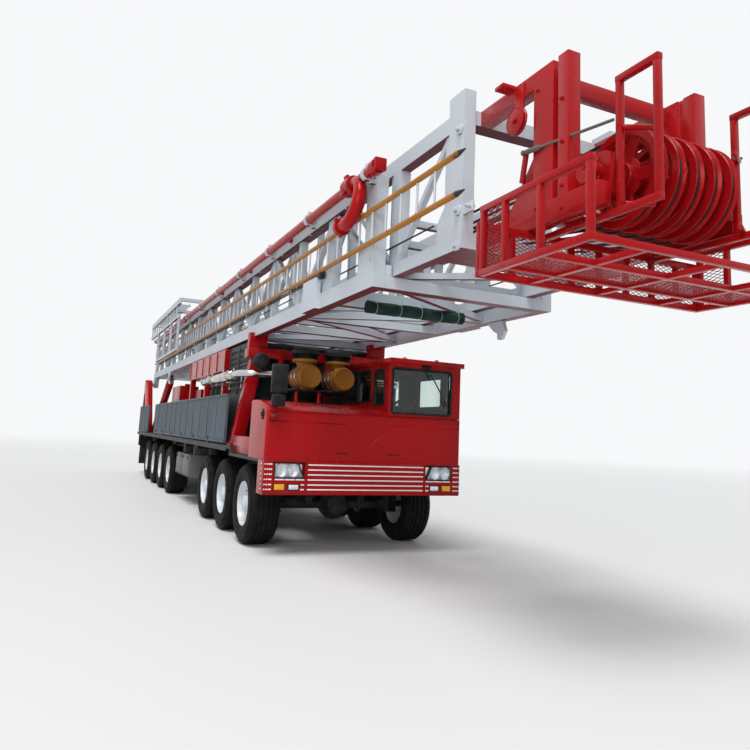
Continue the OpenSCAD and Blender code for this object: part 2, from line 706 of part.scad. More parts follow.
// Folding side platforms, stood up along the deck edge in travel
fold_hinge_z = deck_z + 14 + seat;
panel_h = 830;
panel_t = 40;
module platform_shape() {
    for (r = [[-10500, -1230, 12], [-14490, -12080, 3]]) {
        slab([r[0], r[1]], [half_w - panel_t, half_w - 4], [fold_hinge_z + 12, fold_hinge_z + panel_h]);
        n = r[2];
        for (i = [0:n])
            slab([r[0] + i * (r[1] - r[0] - 40) / n, r[0] + i * (r[1] - r[0] - 40) / n + 40],
                 [half_w - 5, half_w + 6], [fold_hinge_z + 16, fold_hinge_z + panel_h]);
        for (x = [r[0] + 300 : 1500 : r[1] - 200])
            rod_x([x, x + 160], half_w - 14, fold_hinge_z, 28);
    }
}
module platform_right() {
    color(grey_blue) placed() mirror([0, 1, 0]) platform_shape();
}
module platform_left() {
    color(grey_blue) placed() platform_shape();
}

// Levelling jacks: a leg and foot that slide down out of the frame
jack_front_x = -4250;
jack_rear_x = -13500;
jack_y = 1000;
jack_d = 140;
jack_tube_z = 640;
jack_foot_z = 330;
module jack_pair(x) {
    both_sides() {
        rod_z(x, jack_y, [jack_foot_z + 39, deck_z - deck_t - seat], jack_d);
        rod_z(x, jack_y, [jack_foot_z, jack_foot_z + 40], 420);
    }
}
module jacks_front() {
    color(steel) placed() jack_pair(jack_front_x);
}
module jacks_rear() {
    color(steel) placed() jack_pair(jack_rear_x);
}

// Raising cylinders, drawn along the line from the foot pin to the lug on the mast
lug = [pivot_x + 3600, pivot_z + 40];
eye_w = 110;
rod_d = 150;
cyl_len = norm(lug - cyl_foot);
cyl_ang = atan2(lug[1] - cyl_foot[1], lug[0] - cyl_foot[0]);
module along_cylinder() {
    translate([cyl_foot[0], 0, cyl_foot[1]]) rotate([0, -cyl_ang, 0]) children();
}
module raising_barrels() {
    color(red) placed() both_sides() along_cylinder() {
        difference() {
            union() {
                rod_y(0, [cyl_y - 75, cyl_y + 75], 0, 170);
                rod_x([60, 231], cyl_y, 0, 130);
                rod_x([230, cyl_len - 260], cyl_y, 0, 220);
            }
            rod_x([300, cyl_len], cyl_y, 0, rod_d + 2 * seat);
            rod_y(0, [cyl_y - 80, cyl_y + 80], 0, foot_pin + 2 * seat);
        }
    }
}
module raising_rods() {
    color("#d8dadc") placed() both_sides() along_cylinder() {
        rod_x([420, cyl_len - 230], cyl_y, 0, rod_d);
        rod_x([cyl_len - 231, cyl_len - 60], cyl_y, 0, 100);
        rod_y(cyl_len, [cyl_y - eye_w / 2, cyl_y + eye_w / 2], 0, 170);
    }
}

// One side of a lattice section: chords, posts and alternating diagonals
module lattice_side(x, y, z, hb, ht, bays, post, diag) {
    step = (x[1] - x[0]) / bays;
    mid = (y[0] + y[1]) / 2;
    slab(x, y, [z[0], z[0] + hb]);
    slab(x, y, [z[1] - ht, z[1]]);
    for (i = [0:bays]) {
        px = x[0] + i * step;
        a = i == 0 ? px : i == bays ? px - post : px - post / 2;
        slab([a, a + post], [mid - post / 2, mid + post / 2], [z[0] + hb - 1, z[1] - ht + 1]);
    }
    for (i = [0:bays - 1]) {
        up = i % 2 == 0;
        brace([x[0] + i * step + post / 2, mid, up ? z[0] + hb - 10 : z[1] - ht + 10],
              [x[0] + (i + 1) * step - post / 2, mid, up ? z[1] - ht + 10 : z[0] + hb - 10], diag);
    }
}

// The laced back of a lattice section: cross members and diagonals between the chords
module lattice_back(x, half, z, bays, w, diag) {
    step = (x[1] - x[0]) / bays;
    mid = (z[0] + z[1]) / 2;
    for (i = [0:bays]) {
        px = x[0] + i * step;
        a = i == 0 ? px : i == bays ? px - w : px - w / 2;
        slab([a, a + w], [-half, half], z);
    }
    for (i = [0:bays - 1]) {
        s = i % 2 == 0 ? 1 : -1;
        intersection() {
            brace([x[0] + i * step, -s * (half + 40), mid],
                  [x[0] + (i + 1) * step, s * (half + 40), mid], diag);
            slab([x[0], x[1]], [-half, half], [z[0], z[1]]);
        }
    }
}

// Lower mast section: two sides with the pivot ears and lugs, and the laced back
lug_t = 25;
module lower_side() {
    lattice_side([lower_rear_x, lower_front_x], [lower_in, lower_y], [mast_z, lower_top],
                 chord_h, 140, lower_bays, 100, 70);
    side_plate([lower_in, lower_y], [
        [lower_front_x - 430, mast_z], [lower_front_x, mast_z], [lower_front_x, lower_top],
        [lower_front_x - 250, lower_top], [lower_front_x - 250, 3750], [lower_front_x - 430, 3650]
    ]);
    side_plate([lower_in + 5, lower_post_y], [
        [1870, mast_z + 1], [2430, mast_z + 1], [2480, 3700], [2480, lower_top - 1],
        [2270, lower_top - 1], [2270, 3700], [2000, 3435], [1870, 3300]
    ]);
    slab([1650, 2150], [lower_y - 1, lower_y + 70], [mast_z, 3600]);
    side_plate([lower_in, lower_y], [
        [pivot_x - 150, mast_z + 10], [pivot_x - 110, pivot_z - 60], [pivot_x, pivot_z - 110],
        [pivot_x + 110, pivot_z - 60], [pivot_x + 260, mast_z + 10]
    ]);
    rod_y(pivot_x, [lower_y - 1, base_y[1]], pivot_z, pivot_d);
    for (y = [cyl_y - eye_w / 2 - seat - lug_t, cyl_y + eye_w / 2 + seat])
        side_plate([y, y + lug_t], [
            [lug[0] - 200, mast_z + 10], [lug[0] - 70, lug[1] - 80],
            [lug[0] + 70, lug[1] - 80], [lug[0] + 200, mast_z + 10]
        ]);
    for (y = [cyl_y - eye_w / 2 - lug_t - 24, cyl_y + eye_w / 2 + lug_t])
        rod_y(lug[0], [y, y + 24], lug[1], 120);
}
module lower_right() {
    color(white) placed() mirror([0, 1, 0]) lower_side();
}
module lower_left() {
    color(white) placed() {
        lower_side();
        side_plate([lower_in + 40, lower_in + 90], [
            [2560, mast_z + 1], [2900, mast_z + 1], [2960, 3060], [2880, 2960],
            [2800, 2960], [2790, 3040], [2700, 3080]
        ]);
    }
}
back_z = [mast_z + 10, mast_z + 120];
back_diag = 80;
module lower_back() {
    color(white) placed() {
        lattice_back([lower_rear_x, lower_front_x], lower_in, back_z, lower_bays, 120, back_diag);
        slab([lower_front_x - 160, lower_front_x], [-lower_in, lower_in], [mast_z, mast_z + 130]);
        for (x = [lower_front_x - 80, lower_rear_x + 1300, -5000]) both_sides()
            slab([x - 70, x + 70], [upper_in + 10, lower_in], [back_z[1] - 1, upper_z - seat]);
    }
}

// The mast ladder on the right side: two long rails with rungs between them
pole_y = -lower_y - 50;
pole_zs = [mast_z + 460, mast_z + 810];
pole_x = [lower_rear_x + 550, upper_front_x + 380];
pole_d = 55;
rung_pitch = 330;
lower_step = (lower_front_x - lower_rear_x) / lower_bays;
lower_post_y = (lower_y + lower_in) / 2 + 50;
module mast_ladder() {
    color(gold) placed() {
        for (z = pole_zs) {
            rod_x(pole_x, pole_y, z, pole_d);
            translate([pole_x[1] - 1, pole_y, z]) rotate([0, 90, 0]) cylinder(h = 120, d1 = pole_d, d2 = 12);
            for (i = [1 : 2 : lower_bays - 1])
                slab([lower_rear_x + i * lower_step - 25, lower_rear_x + i * lower_step + 25],
                     [pole_y, -lower_post_y - seat], [z - 14, z + 14]);
        }
        for (x = [pole_x[0] + 200 : rung_pitch : pole_x[1] - 150]) rod_z(x, pole_y, pole_zs, 24);
    }
}

// Mud standpipe along the top right chord, turned back in a gooseneck at its front end
pipe_d = 114;
pipe_y = -lower_y - 95;
pipe_z = lower_top - 20;
neck_r = 240;
neck_x = lower_front_x - 400;
neck_d = 118;
neck_tilt = 9;
module standpipe() {
    color(red) placed() {
        rod_x([lower_rear_x + 450, lower_front_x + 200], pipe_y, pipe_z, pipe_d);
        rod_x([lower_front_x + 130, lower_front_x + 240], pipe_y, pipe_z, 170);
        rod_x([neck_x - 210, neck_x + 10], pipe_y, pipe_z, 190);
        translate([neck_x, pipe_y, pipe_z]) rotate([-neck_tilt, 0, 0]) {
            translate([0, 0, -neck_r]) rotate([90, 0, 0]) rotate([0, 0, -90])
                rotate_extrude(angle = 180) translate([neck_r, 0]) circle(d = neck_d);
            rod_x([-180, 0], 0, -2 * neck_r, 150);
            rod_x([-240, -179], 0, -2 * neck_r, neck_d);
        }
        for (x = [lower_rear_x + 1450 : 2300 : neck_x - 150])
            slab([x - 30, x + 30], [pipe_y, -lower_y - seat], [pipe_z - 50, pipe_z + 10]);
    }
}

// A rolled tarpaulin tied under the front of the lower section
roll_x = lower_front_x - 800;
roll_y = [-880, 440];
roll_d = 170;
module tarp_roll() {
    color("#0f2f26") placed()
        rod_y(roll_x, roll_y, (back_z[0] + back_z[1] - back_diag) / 2 - roll_d / 2 - seat, roll_d);
}

// Upper mast section, nested in the lower one
front_post_w = 270;
foot_w = 470;
module upper_side() {
    lattice_side([upper_rear_x, upper_front_x - front_post_w], [upper_in, upper_y],
                 [upper_z, upper_top], upper_chord_h, 170, upper_bays, 80, 60);
    side_plate([upper_in, upper_y], [
        [upper_front_x - foot_w, upper_z], [upper_front_x, upper_z],
        [upper_front_x, upper_top + 180], [upper_front_x - front_post_w, upper_top + 180],
        [upper_front_x - front_post_w, upper_z + 510], [upper_front_x - foot_w + 30, upper_z + 330]
    ]);
    slab([3650, 3830], [upper_in, upper_y], [upper_z, upper_top]);
    difference() {
        side_plate([850, 890], [
            [board_x[0] - 10, upper_top - 1], [board_x[0] + 130, upper_top - 1],
            [board_x[0] + 95, board_pin_z + 50], [board_x[0] - 5, board_pin_z + 50]
        ]);
        rod_y(board_x[0] + 45, [800, 900], board_pin_z, board_pin + 2 * seat);
    }
    for (x = [-7800, -10400])
        slab([x - 50, x + 50], [upper_in + 10, upper_y - 10], [upper_top - 1, board_z - seat]);
}
module upper_right() {
    color(white) placed() mirror([0, 1, 0]) upper_side();
}
module upper_left() {
    color(white) placed() upper_side();
}
module upper_back() {
    color(white) placed() {
        lattice_back([upper_rear_x, upper_front_x - foot_w], upper_in,
                     [upper_z + 10, upper_z + upper_chord_h - 10], upper_bays, 100, 70);
        slab([upper_front_x - foot_w - 1, upper_front_x], [-upper_in, upper_in],
             [upper_z, upper_z + upper_chord_h]);
        slab([upper_front_x - 180, upper_front_x - 20], [-upper_in, upper_in],
             [upper_top - 140, upper_top]);
    }
}

// Crown frame: girders ahead of the mast, their posts, the sheave bearings and guy lugs
girder_y = 620;
girder_w = 120;
post_x = [upper_front_x + 760, upper_front_x + 1175];
arm_x = sheave_x + 140;
axle_d = 140;
guy_x = upper_front_x + 460;
guy_y = 820;
guy_bore = 42;
lug_plate_t = 30;
disc_x = guy_x + 115;
module crown_frame() {
    color(red) placed() {
        both_sides() {
            slab([upper_front_x + seat, arm_x], [girder_y, girder_y + girder_w],
                 [upper_z + 5, upper_z + 180]);
            slab([post_x[0], post_x[0] + 240], [girder_y, girder_y + girder_w],
                 [upper_z + 179, upper_top]);
            slab([post_x[1] - 115, post_x[1]], [girder_y, girder_y + girder_w],
                 [upper_z + 179, upper_top]);
            slab([post_x[0] + 239, post_x[1] - 114], [girder_y + 20, girder_y + 60],
                 [upper_z + 179, upper_top]);
            side_plate([girder_y + 30, girder_y + 90], [
                [post_x[0] - 400, upper_z + 179], [post_x[0] + 1, upper_z + 179], [post_x[0] + 1, 4000]
            ]);
            slab([upper_front_x - 20 + seat, post_x[0] + 1], [girder_y, girder_y + girder_w],
                 [upper_top - 140, upper_top]);
            difference() {
                side_plate([girder_y - 60, girder_y + 1], [
                    [post_x[0], upper_z + 60], [sheave_x - 120, upper_z + 40],
                    [arm_x, sheave_z - 190], [arm_x, sheave_z + 110], [arm_x - 60, sheave_z + 140],
                    [post_x[0], sheave_z + 200]
                ]);
                rod_y(sheave_x, [0, 1000], sheave_z, axle_d + 2 * seat);
            }
            difference() {
                slab([guy_x - 60, guy_x + 60], [girder_y + girder_w - 1, guy_y + 60],
                     [upper_top - lug_plate_t, upper_top]);
                rod_z(guy_x, guy_y, [upper_top - 60, upper_top + 10], guy_bore);
            }
            slab([disc_x - 60, disc_x + 60], [girder_y + girder_w - 1, girder_y + girder_w + 14],
                 [upper_top - 390, upper_top - 20]);
            rod_y(disc_x, [girder_y + girder_w + 13, girder_y + girder_w + 55], upper_top - 350, 210);
        }
        slab([post_x[0], post_x[0] + 100], [-girder_y, girder_y], [upper_top - 140, upper_top]);
        slab([post_x[0], post_x[0] + 100], [-girder_y, girder_y], [upper_z + 60, upper_z + 160]);
    }
}

// Crown platform: grated floor, toe panels, posts and rails round the crown
rail_d = 50;
cage_z = [upper_z - 435, upper_z + 120];
tall_x = cage_floor_x + 830;
tall_z = upper_z + 960;
floor_top = upper_z + 5 - seat;
bar_pitch = 100;
module cage_side() {
    for (x = [cage_floor_x, cage_floor_x + 280, cage_floor_x + 690, cage_front_x - rail_d])
        slab([x, x + rail_d], [cage_y - rail_d, cage_y], cage_z);
    for (z = [cage_z[0], cage_z[1] - rail_d])
        slab([cage_floor_x, cage_front_x], [cage_y - rail_d, cage_y], [z, z + rail_d]);
    for (x = [cage_floor_x + 60 : 70 : cage_floor_x + 280])
        slab([x, x + 10], [cage_y - 32, cage_y - 20], cage_z);
    for (z = [cage_z[0] + 130 : 100 : cage_z[1] - 60])
        slab([cage_floor_x, cage_floor_x + 281], [cage_y - 32, cage_y - 20], [z, z + 10]);
    for (x = [tall_x, cage_front_x - rail_d])
        slab([x, x + rail_d], [girder_y - rail_d, girder_y], [floor_top - 75, tall_z]);
    slab([cage_floor_x - 1, cage_front_x], [girder_y - rail_d, girder_y],
         [floor_top - 75, floor_top - 75 + rail_d]);
    slab([tall_x, cage_front_x], [girder_y - rail_d, girder_y], [tall_z - rail_d, tall_z]);
}
module crown_platform() {
    color(red) placed() {
        for (z = [cage_z[0], floor_top - 60])
            slab([cage_floor_x - 50, cage_floor_x], [-cage_y, cage_y], [z, z + 60]);
        for (y = [-cage_y : 300 : cage_y - 50])
            slab([cage_floor_x - 50, cage_floor_x], [y, y + 50], [cage_z[0], floor_top]);
        slab([cage_floor_x - 50, cage_floor_x], [cage_y - 50, cage_y], [cage_z[0], floor_top]);
        for (y = [-cage_y + bar_pitch : bar_pitch : cage_y - bar_pitch])
            slab([cage_floor_x - 20, cage_floor_x - 8], [y - 5, y + 5], [cage_z[0], floor_top]);
        for (z = [cage_z[0] + 130, cage_z[0] + 260])
            slab([cage_floor_x - 20, cage_floor_x - 8], [-cage_y, cage_y], [z, z + 10]);
        both_sides() cage_side();
        for (x = [cage_floor_x + 280, cage_floor_x + 690, cage_front_x - rail_d])
            slab([x, x + rail_d], [-cage_y, cage_y], [cage_z[0], cage_z[0] + rail_d]);
        for (y = [-700, 0, 700])
            slab([cage_floor_x - 1, cage_front_x], [y - 25, y + 25], [cage_z[0], cage_z[0] + rail_d]);
    }
}

// The crown sheave cluster with its wraps of rope
module crown_sheaves() {
    pitch = 900 / sheave_n;
    color(red) placed() {
        rod_y(sheave_x, [-700, 700], sheave_z, axle_d);
        for (i = [0:sheave_n - 1]) {
            y = -450 + pitch * (i + 0.5);
            translate([sheave_x, y, sheave_z]) rotate([-90, 0, 0]) rotate_extrude($fn = 64) polygon([
                [60, -50], [110, -50], [110, -18], [sheave_r - 90, -18], [sheave_r - 60, -40],
                [sheave_r, -40], [sheave_r - 45, -14], [sheave_r - 45, 14], [sheave_r, 40],
                [sheave_r - 60, 40], [sheave_r - 90, 18], [110, 18], [110, 50], [60, 50]
            ]);
        }
    }
}

// Racking board folded along the top of the upper section: its floor with the fingers
board_x = [-13300, -7600];
board_y = 1500;
board_z = upper_top + 150;
board_t = 90;
board_pin = 70;
board_pin_z = board_z + board_t / 2;
module racking_board() {
    color(white) placed() {
        rod_y(board_x[0] + 45, [-board_y, board_y], board_pin_z, board_pin);
        for (x = [board_x[0] + 1850 : 1925 : board_x[1]])
            slab([x - 80, x], [-board_y, board_y], [board_z, board_z + board_t]);
        slab([board_x[1] - 80, board_x[1]], [-board_y, board_y], [board_z, board_z + board_t]);
        both_sides() {
            slab(board_x, [board_y - 60, board_y], [board_z, board_z + board_t]);
            for (x = [-12700 : 350 : -8200])
                slab([x, x + 45], [board_y - 420, board_y - 59], [board_z + 20, board_z + 65]);
        }
    }
}

// The board's side rails, standing out from its floor
rail_z = board_z - 420;
module board_rails() {
    color(white) placed() both_sides() {
        for (z = [rail_z, board_z - 60 - seat])
            slab(board_x, [board_y - 60, board_y], [z, z + 60]);
        for (x = [board_x[0] : 570 : board_x[1] - 60])
            slab([x, x + 50], [board_y - 50, board_y - 10], [rail_z + 40, board_z - 40]);
        for (x = [board_x[0] + 1700 : 1300 : board_x[1]])
            slab([x, x + 60], [board_y - 60, board_y], [rail_z - 840, rail_z + 10]);
        slab([board_x[0] + 1700, board_x[1]], [board_y - 60, board_y], [rail_z - 860, rail_z - 800]);
    }
}

// Travelling block with its sheaves and hook link, resting in the upper section
block_x = -6400;
block_h = 620;
block_z = upper_z + upper_chord_h - 10 + seat;
module travelling_block() {
    color(gold) placed() {
        for (y = [-230, -85, 55, 200])
            side_plate([y, y + 30], [
                [block_x - 600, block_z + 200], [block_x - 350, block_z], [block_x + 350, block_z],
                [block_x + 520, block_z + 200], [block_x + 520, block_z + block_h - 200],
                [block_x + 300, block_z + block_h], [block_x - 300, block_z + block_h],
                [block_x - 600, block_z + block_h - 200]
            ]);
        rod_y(block_x + 150, [-245, 245], block_z + block_h / 2, 130);
        for (y = [-185, -40, 100]) rod_y(block_x + 150, [y, y + 85], block_z + block_h / 2, 560);
        slab([block_x - 500, block_x - 350], [-210, 210], [block_z + 200, block_z + 420]);
        rod_x([block_x - 800, block_x - 400], 0, block_z + block_h / 2, 160);
        rod_x([block_x - 960, block_x - 799], 0, block_z + block_h / 2, 230);
    }
}

// Each named piece, drawn once
chassis_frame();
axles();
nose();
lamp_panel();
cab_shell();
cab_glass();
cab_interior();
cab_door();
deck();
side_boxes();
front_support();
engines();
air_cleaners();
exhausts();
machine_housing();
drawworks_frame();
drawworks_drum();
mast_base();
mirrors();
platform_right();
platform_left();
jacks_front();
jacks_rear();
raising_barrels();
raising_rods();
lower_right();
lower_left();
lower_back();
mast_ladder();
standpipe();
tarp_roll();
upper_right();
upper_left();
upper_back();
crown_frame();
crown_platform();
crown_sheaves();
racking_board();
board_rails();
travelling_block();
knuckle_at(0, -1);  // knuckle_1_right
knuckle_at(0, 1);  // knuckle_1_left
knuckle_at(1, -1);  // knuckle_2_right
knuckle_at(1, 1);  // knuckle_2_left
knuckle_at(2, -1);  // knuckle_3_right
knuckle_at(2, 1);  // knuckle_3_left
wheel_at(0, -1);  // wheel_1_right
wheel_at(0, 1);  // wheel_1_left
wheel_at(1, -1);  // wheel_2_right
wheel_at(1, 1);  // wheel_2_left
wheel_at(2, -1);  // wheel_3_right
wheel_at(2, 1);  // wheel_3_left
wheel_at(3, -1);  // wheel_4_right
wheel_at(3, 1);  // wheel_4_left
wheel_at(4, -1);  // wheel_5_right
wheel_at(4, 1);  // wheel_5_left
wheel_at(5, -1);  // wheel_6_right
wheel_at(5, 1);  // wheel_6_left
wheel_at(6, -1);  // wheel_7_right
wheel_at(6, 1);  // wheel_7_left
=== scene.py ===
import math
import bpy
from mathutils import Matrix, Vector


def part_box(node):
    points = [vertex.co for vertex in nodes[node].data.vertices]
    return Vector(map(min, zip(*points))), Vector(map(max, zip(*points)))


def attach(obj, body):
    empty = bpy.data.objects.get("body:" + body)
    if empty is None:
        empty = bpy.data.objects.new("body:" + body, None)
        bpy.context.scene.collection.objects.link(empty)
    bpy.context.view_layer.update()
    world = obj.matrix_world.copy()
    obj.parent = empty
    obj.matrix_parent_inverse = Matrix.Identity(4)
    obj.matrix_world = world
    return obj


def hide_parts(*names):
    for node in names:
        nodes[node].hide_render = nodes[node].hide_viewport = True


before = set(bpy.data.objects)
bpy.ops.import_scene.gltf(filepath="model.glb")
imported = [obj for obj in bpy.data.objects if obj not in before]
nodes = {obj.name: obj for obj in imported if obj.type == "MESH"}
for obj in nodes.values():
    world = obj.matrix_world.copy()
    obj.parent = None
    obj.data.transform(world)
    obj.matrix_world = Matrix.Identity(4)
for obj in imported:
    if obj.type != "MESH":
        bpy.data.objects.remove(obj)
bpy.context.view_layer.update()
wheel_low, wheel_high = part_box("wheel_1_right")
front_axle = (wheel_low[0] + wheel_high[0]) / 2

# The camera stands low ahead of the right front corner, where the photograph
# was taken from, and looks back along the carrier and the mast.
bpy.ops.object.camera_add(
    location=(front_axle + 10.1007, -4.0004, 1.6774),
    rotation=(1.71796114, -0.04549211, 1.13751864),
)
camera = bpy.context.object
camera.name = "photo_camera"
camera.data.sensor_width = 36
camera.data.lens = 32.546
camera.data.shift_y = -0.056
camera.data.clip_end = 500
bpy.context.scene.camera = camera

# Plain pale floor that fades into a white surround, under one wide overhead
# light with soft shadows and a broad lamp from the camera's side.
bpy.ops.mesh.primitive_plane_add(size=600, location=(0, 0, -0.002))
floor = bpy.context.object
floor.name = "floor"
floor_finish = bpy.data.materials.new("pale floor")
floor_finish.use_nodes = True
laid = floor_finish.node_tree
floor_shader = laid.nodes["Principled BSDF"]
floor_shader.inputs["Base Color"].default_value = (0.78, 0.78, 0.78, 1)
floor_shader.inputs["Roughness"].default_value = 0.6
floor_shader.inputs["Specular IOR Level"].default_value = 0.2
distance = laid.nodes.new("ShaderNodeVectorMath")
distance.operation = "LENGTH"
laid.links.new(laid.nodes.new("ShaderNodeTexCoord").outputs["Object"], distance.inputs[0])
far = laid.nodes.new("ShaderNodeMapRange")
far.interpolation_type = "SMOOTHSTEP"
far.inputs["From Min"].default_value = 16
far.inputs["From Max"].default_value = 70
laid.links.new(distance.outputs["Value"], far.inputs["Value"])
floor.data.materials.append(floor_finish)


def seen_directly(tree, amount=None):
    """1 where the ray comes from the camera, a mirror or glass, times the amount."""
    ray = tree.nodes.new("ShaderNodeLightPath")
    value = ray.outputs["Is Camera Ray"]
    for other in ("Is Glossy Ray", "Is Transmission Ray"):
        either = tree.nodes.new("ShaderNodeMath")
        either.operation = "MAXIMUM"
        tree.links.new(value, either.inputs[0])
        tree.links.new(ray.outputs[other], either.inputs[1])
        value = either.outputs[0]
    if amount:
        times = tree.nodes.new("ShaderNodeMath")
        times.operation = "MULTIPLY"
        tree.links.new(value, times.inputs[0])
        tree.links.new(amount, times.inputs[1])
        value = times.outputs[0]
    return value


glow = laid.nodes.new("ShaderNodeEmission")
glow.inputs["Color"].default_value = (0.93, 0.94, 0.95, 1)
fade = laid.nodes.new("ShaderNodeMixShader")
laid.links.new(seen_directly(laid, far.outputs["Result"]), fade.inputs[0])
laid.links.new(floor_shader.outputs[0], fade.inputs[1])
laid.links.new(glow.outputs[0], fade.inputs[2])
laid.links.new(fade.outputs[0], laid.nodes["Material Output"].inputs["Surface"])

surround = bpy.data.worlds.new("surround")
bpy.context.scene.world = surround
surround.use_nodes = True
sky = surround.node_tree
soft = sky.nodes["Background"]
soft.inputs["Color"].default_value = (0.94, 0.97, 1, 1)
soft.inputs["Strength"].default_value = 0.3
white = sky.nodes.new("ShaderNodeBackground")
white.inputs["Color"].default_value = (0.93, 0.94, 0.95, 1)
white.inputs["Strength"].default_value = 1
choose = sky.nodes.new("ShaderNodeMixShader")
sky.links.new(seen_directly(sky), choose.inputs[0])
sky.links.new(soft.outputs[0], choose.inputs[1])
sky.links.new(white.outputs[0], choose.inputs[2])
sky.links.new(choose.outputs[0], sky.nodes["World Output"].inputs["Surface"])

bpy.ops.object.light_add(type="SUN", location=(0, 0, 20))
overhead = bpy.context.object
overhead.data.energy = 2.4
overhead.data.angle = math.radians(28)
overhead.rotation_euler = Vector((-0.35, 0.3, -1)).to_track_quat("-Z", "Y").to_euler()
bpy.ops.object.light_add(type="AREA", location=(19, -10, 8))
front_lamp = bpy.context.object
front_lamp.data.energy = 600
front_lamp.data.size = 6
front_lamp.rotation_euler = Vector((-15, 10, -6)).to_track_quat("-Z", "Y").to_euler()
bpy.context.scene.view_settings.view_transform = "Standard"


# The carrier's frame rails, cross members, axles and steering knuckles: folded
# and cast steel under black chassis enamel, dulled by road dust.
def new_finish(name, colour, rough, metal=0.0, coat=0.0):
    """A finish whose colour and roughness are then varied by its own nodes."""
    made = bpy.data.materials.new(name)
    made.use_nodes = True
    shader = made.node_tree.nodes["Principled BSDF"]
    shader.inputs["Base Color"].default_value = (*colour, 1)
    shader.inputs["Roughness"].default_value = rough
    shader.inputs["Metallic"].default_value = metal
    shader.inputs["Coat Weight"].default_value = coat
    shader.inputs["Coat Roughness"].default_value = 0.06
    shader.inputs["Specular IOR Level"].default_value = 0.13
    made.diffuse_color = (*colour, 1)
    return made


def place_of(finish):
    """The coordinates of the finish, laid once on the object itself."""
    tree = finish.node_tree
    for node in tree.nodes:
        if node.type == "TEX_COORD":
            return node
    return tree.nodes.new("ShaderNodeTexCoord")


def cloud(finish, scale, detail=3.0, stretch=None):
    """Soft noise of about 1 / scale metres, stretched along an axis if asked."""
    tree = finish.node_tree
    noise = tree.nodes.new("ShaderNodeTexNoise")
    noise.inputs["Scale"].default_value = scale
    noise.inputs["Detail"].default_value = detail
    source = place_of(finish).outputs["Object"]
    if stretch:
        turn = tree.nodes.new("ShaderNodeMapping")
        turn.inputs["Scale"].default_value = stretch
        tree.links.new(source, turn.inputs["Vector"])
        source = turn.outputs["Vector"]
    tree.links.new(source, noise.inputs["Vector"])
    return noise.outputs["Fac"]


def ramp(finish, value, low, high, first, last):
    """value from low to high becomes first to last, and stops there."""
    tree = finish.node_tree
    span = tree.nodes.new("ShaderNodeMapRange")
    for slot, number in zip(("From Min", "From Max", "To Min", "To Max"), (low, high, first, last)):
        span.inputs[slot].default_value = number
    tree.links.new(value, span.inputs["Value"])
    return span.outputs["Result"]


def sum_of(finish, kind, first, second):
    """A plain sum on two values, the second one a number or an output."""
    tree = finish.node_tree
    node = tree.nodes.new("ShaderNodeMath")
    node.operation = kind
    tree.links.new(first, node.inputs[0])
    if isinstance(second, (int, float)):
        node.inputs[1].default_value = second
    else:
        tree.links.new(second, node.inputs[1])
    return node.outputs[0]


def mixed(finish, amount, first, second, kind="MIX"):
    """Two colours mixed; each is an output or three numbers."""
    tree = finish.node_tree
    node = tree.nodes.new("ShaderNodeMix")
    node.data_type = "RGBA"
    node.blend_type = kind
    if isinstance(amount, (int, float)):
        node.inputs["Factor"].default_value = amount
    else:
        tree.links.new(amount, node.inputs["Factor"])
    for slot, colour in ((6, first), (7, second)):
        if isinstance(colour, tuple):
            node.inputs[slot].default_value = (*colour, 1)
        else:
            tree.links.new(colour, node.inputs[slot])
    return node.outputs[2]


def part_of(finish, output, axis):
    """One coordinate, 0 to 2, of the finish's Object or Normal output."""
    tree = finish.node_tree
    split = tree.nodes.new("ShaderNodeSeparateXYZ")
    tree.links.new(place_of(finish).outputs[output], split.inputs[0])
    return split.outputs[axis]


def set_colour(finish, colour):
    tree = finish.node_tree
    tree.links.new(colour, tree.nodes["Principled BSDF"].inputs["Base Color"])


def set_rough(finish, value):
    tree = finish.node_tree
    tree.links.new(value, tree.nodes["Principled BSDF"].inputs["Roughness"])


def set_bumps(finish, *bumps, soft_edge=0.0):
    """Bumps of (height, distance), over edges that are rubbed round by soft_edge."""
    tree = finish.node_tree
    normal = None
    if soft_edge:
        edge = tree.nodes.new("ShaderNodeBevel")
        edge.samples = 4
        edge.inputs["Radius"].default_value = soft_edge
        normal = edge.outputs["Normal"]
    for height, distance in bumps:
        bump = tree.nodes.new("ShaderNodeBump")
        bump.inputs["Strength"].default_value = 1
        bump.inputs["Distance"].default_value = distance
        tree.links.new(height, bump.inputs["Height"])
        if normal:
            tree.links.new(normal, bump.inputs["Normal"])
        normal = bump.outputs["Normal"]
    tree.links.new(normal, tree.nodes["Principled BSDF"].inputs["Normal"])


def rubbed(finish, radius):
    """1 along the edges, 0 on the flats, broken up by noise."""
    tree = finish.node_tree
    edge = tree.nodes.new("ShaderNodeBevel")
    edge.samples = 4
    edge.inputs["Radius"].default_value = radius
    flat = tree.nodes.new("ShaderNodeNewGeometry")
    match = tree.nodes.new("ShaderNodeVectorMath")
    match.operation = "DOT_PRODUCT"
    tree.links.new(edge.outputs["Normal"], match.inputs[0])
    tree.links.new(flat.outputs["Normal"], match.inputs[1])
    worn = ramp(finish, match.outputs["Value"], 0.97, 0.8, 0, 1)
    return sum_of(finish, "MULTIPLY", worn, ramp(finish, cloud(finish, 14, 5), 0.5, 0.62, 0, 1))


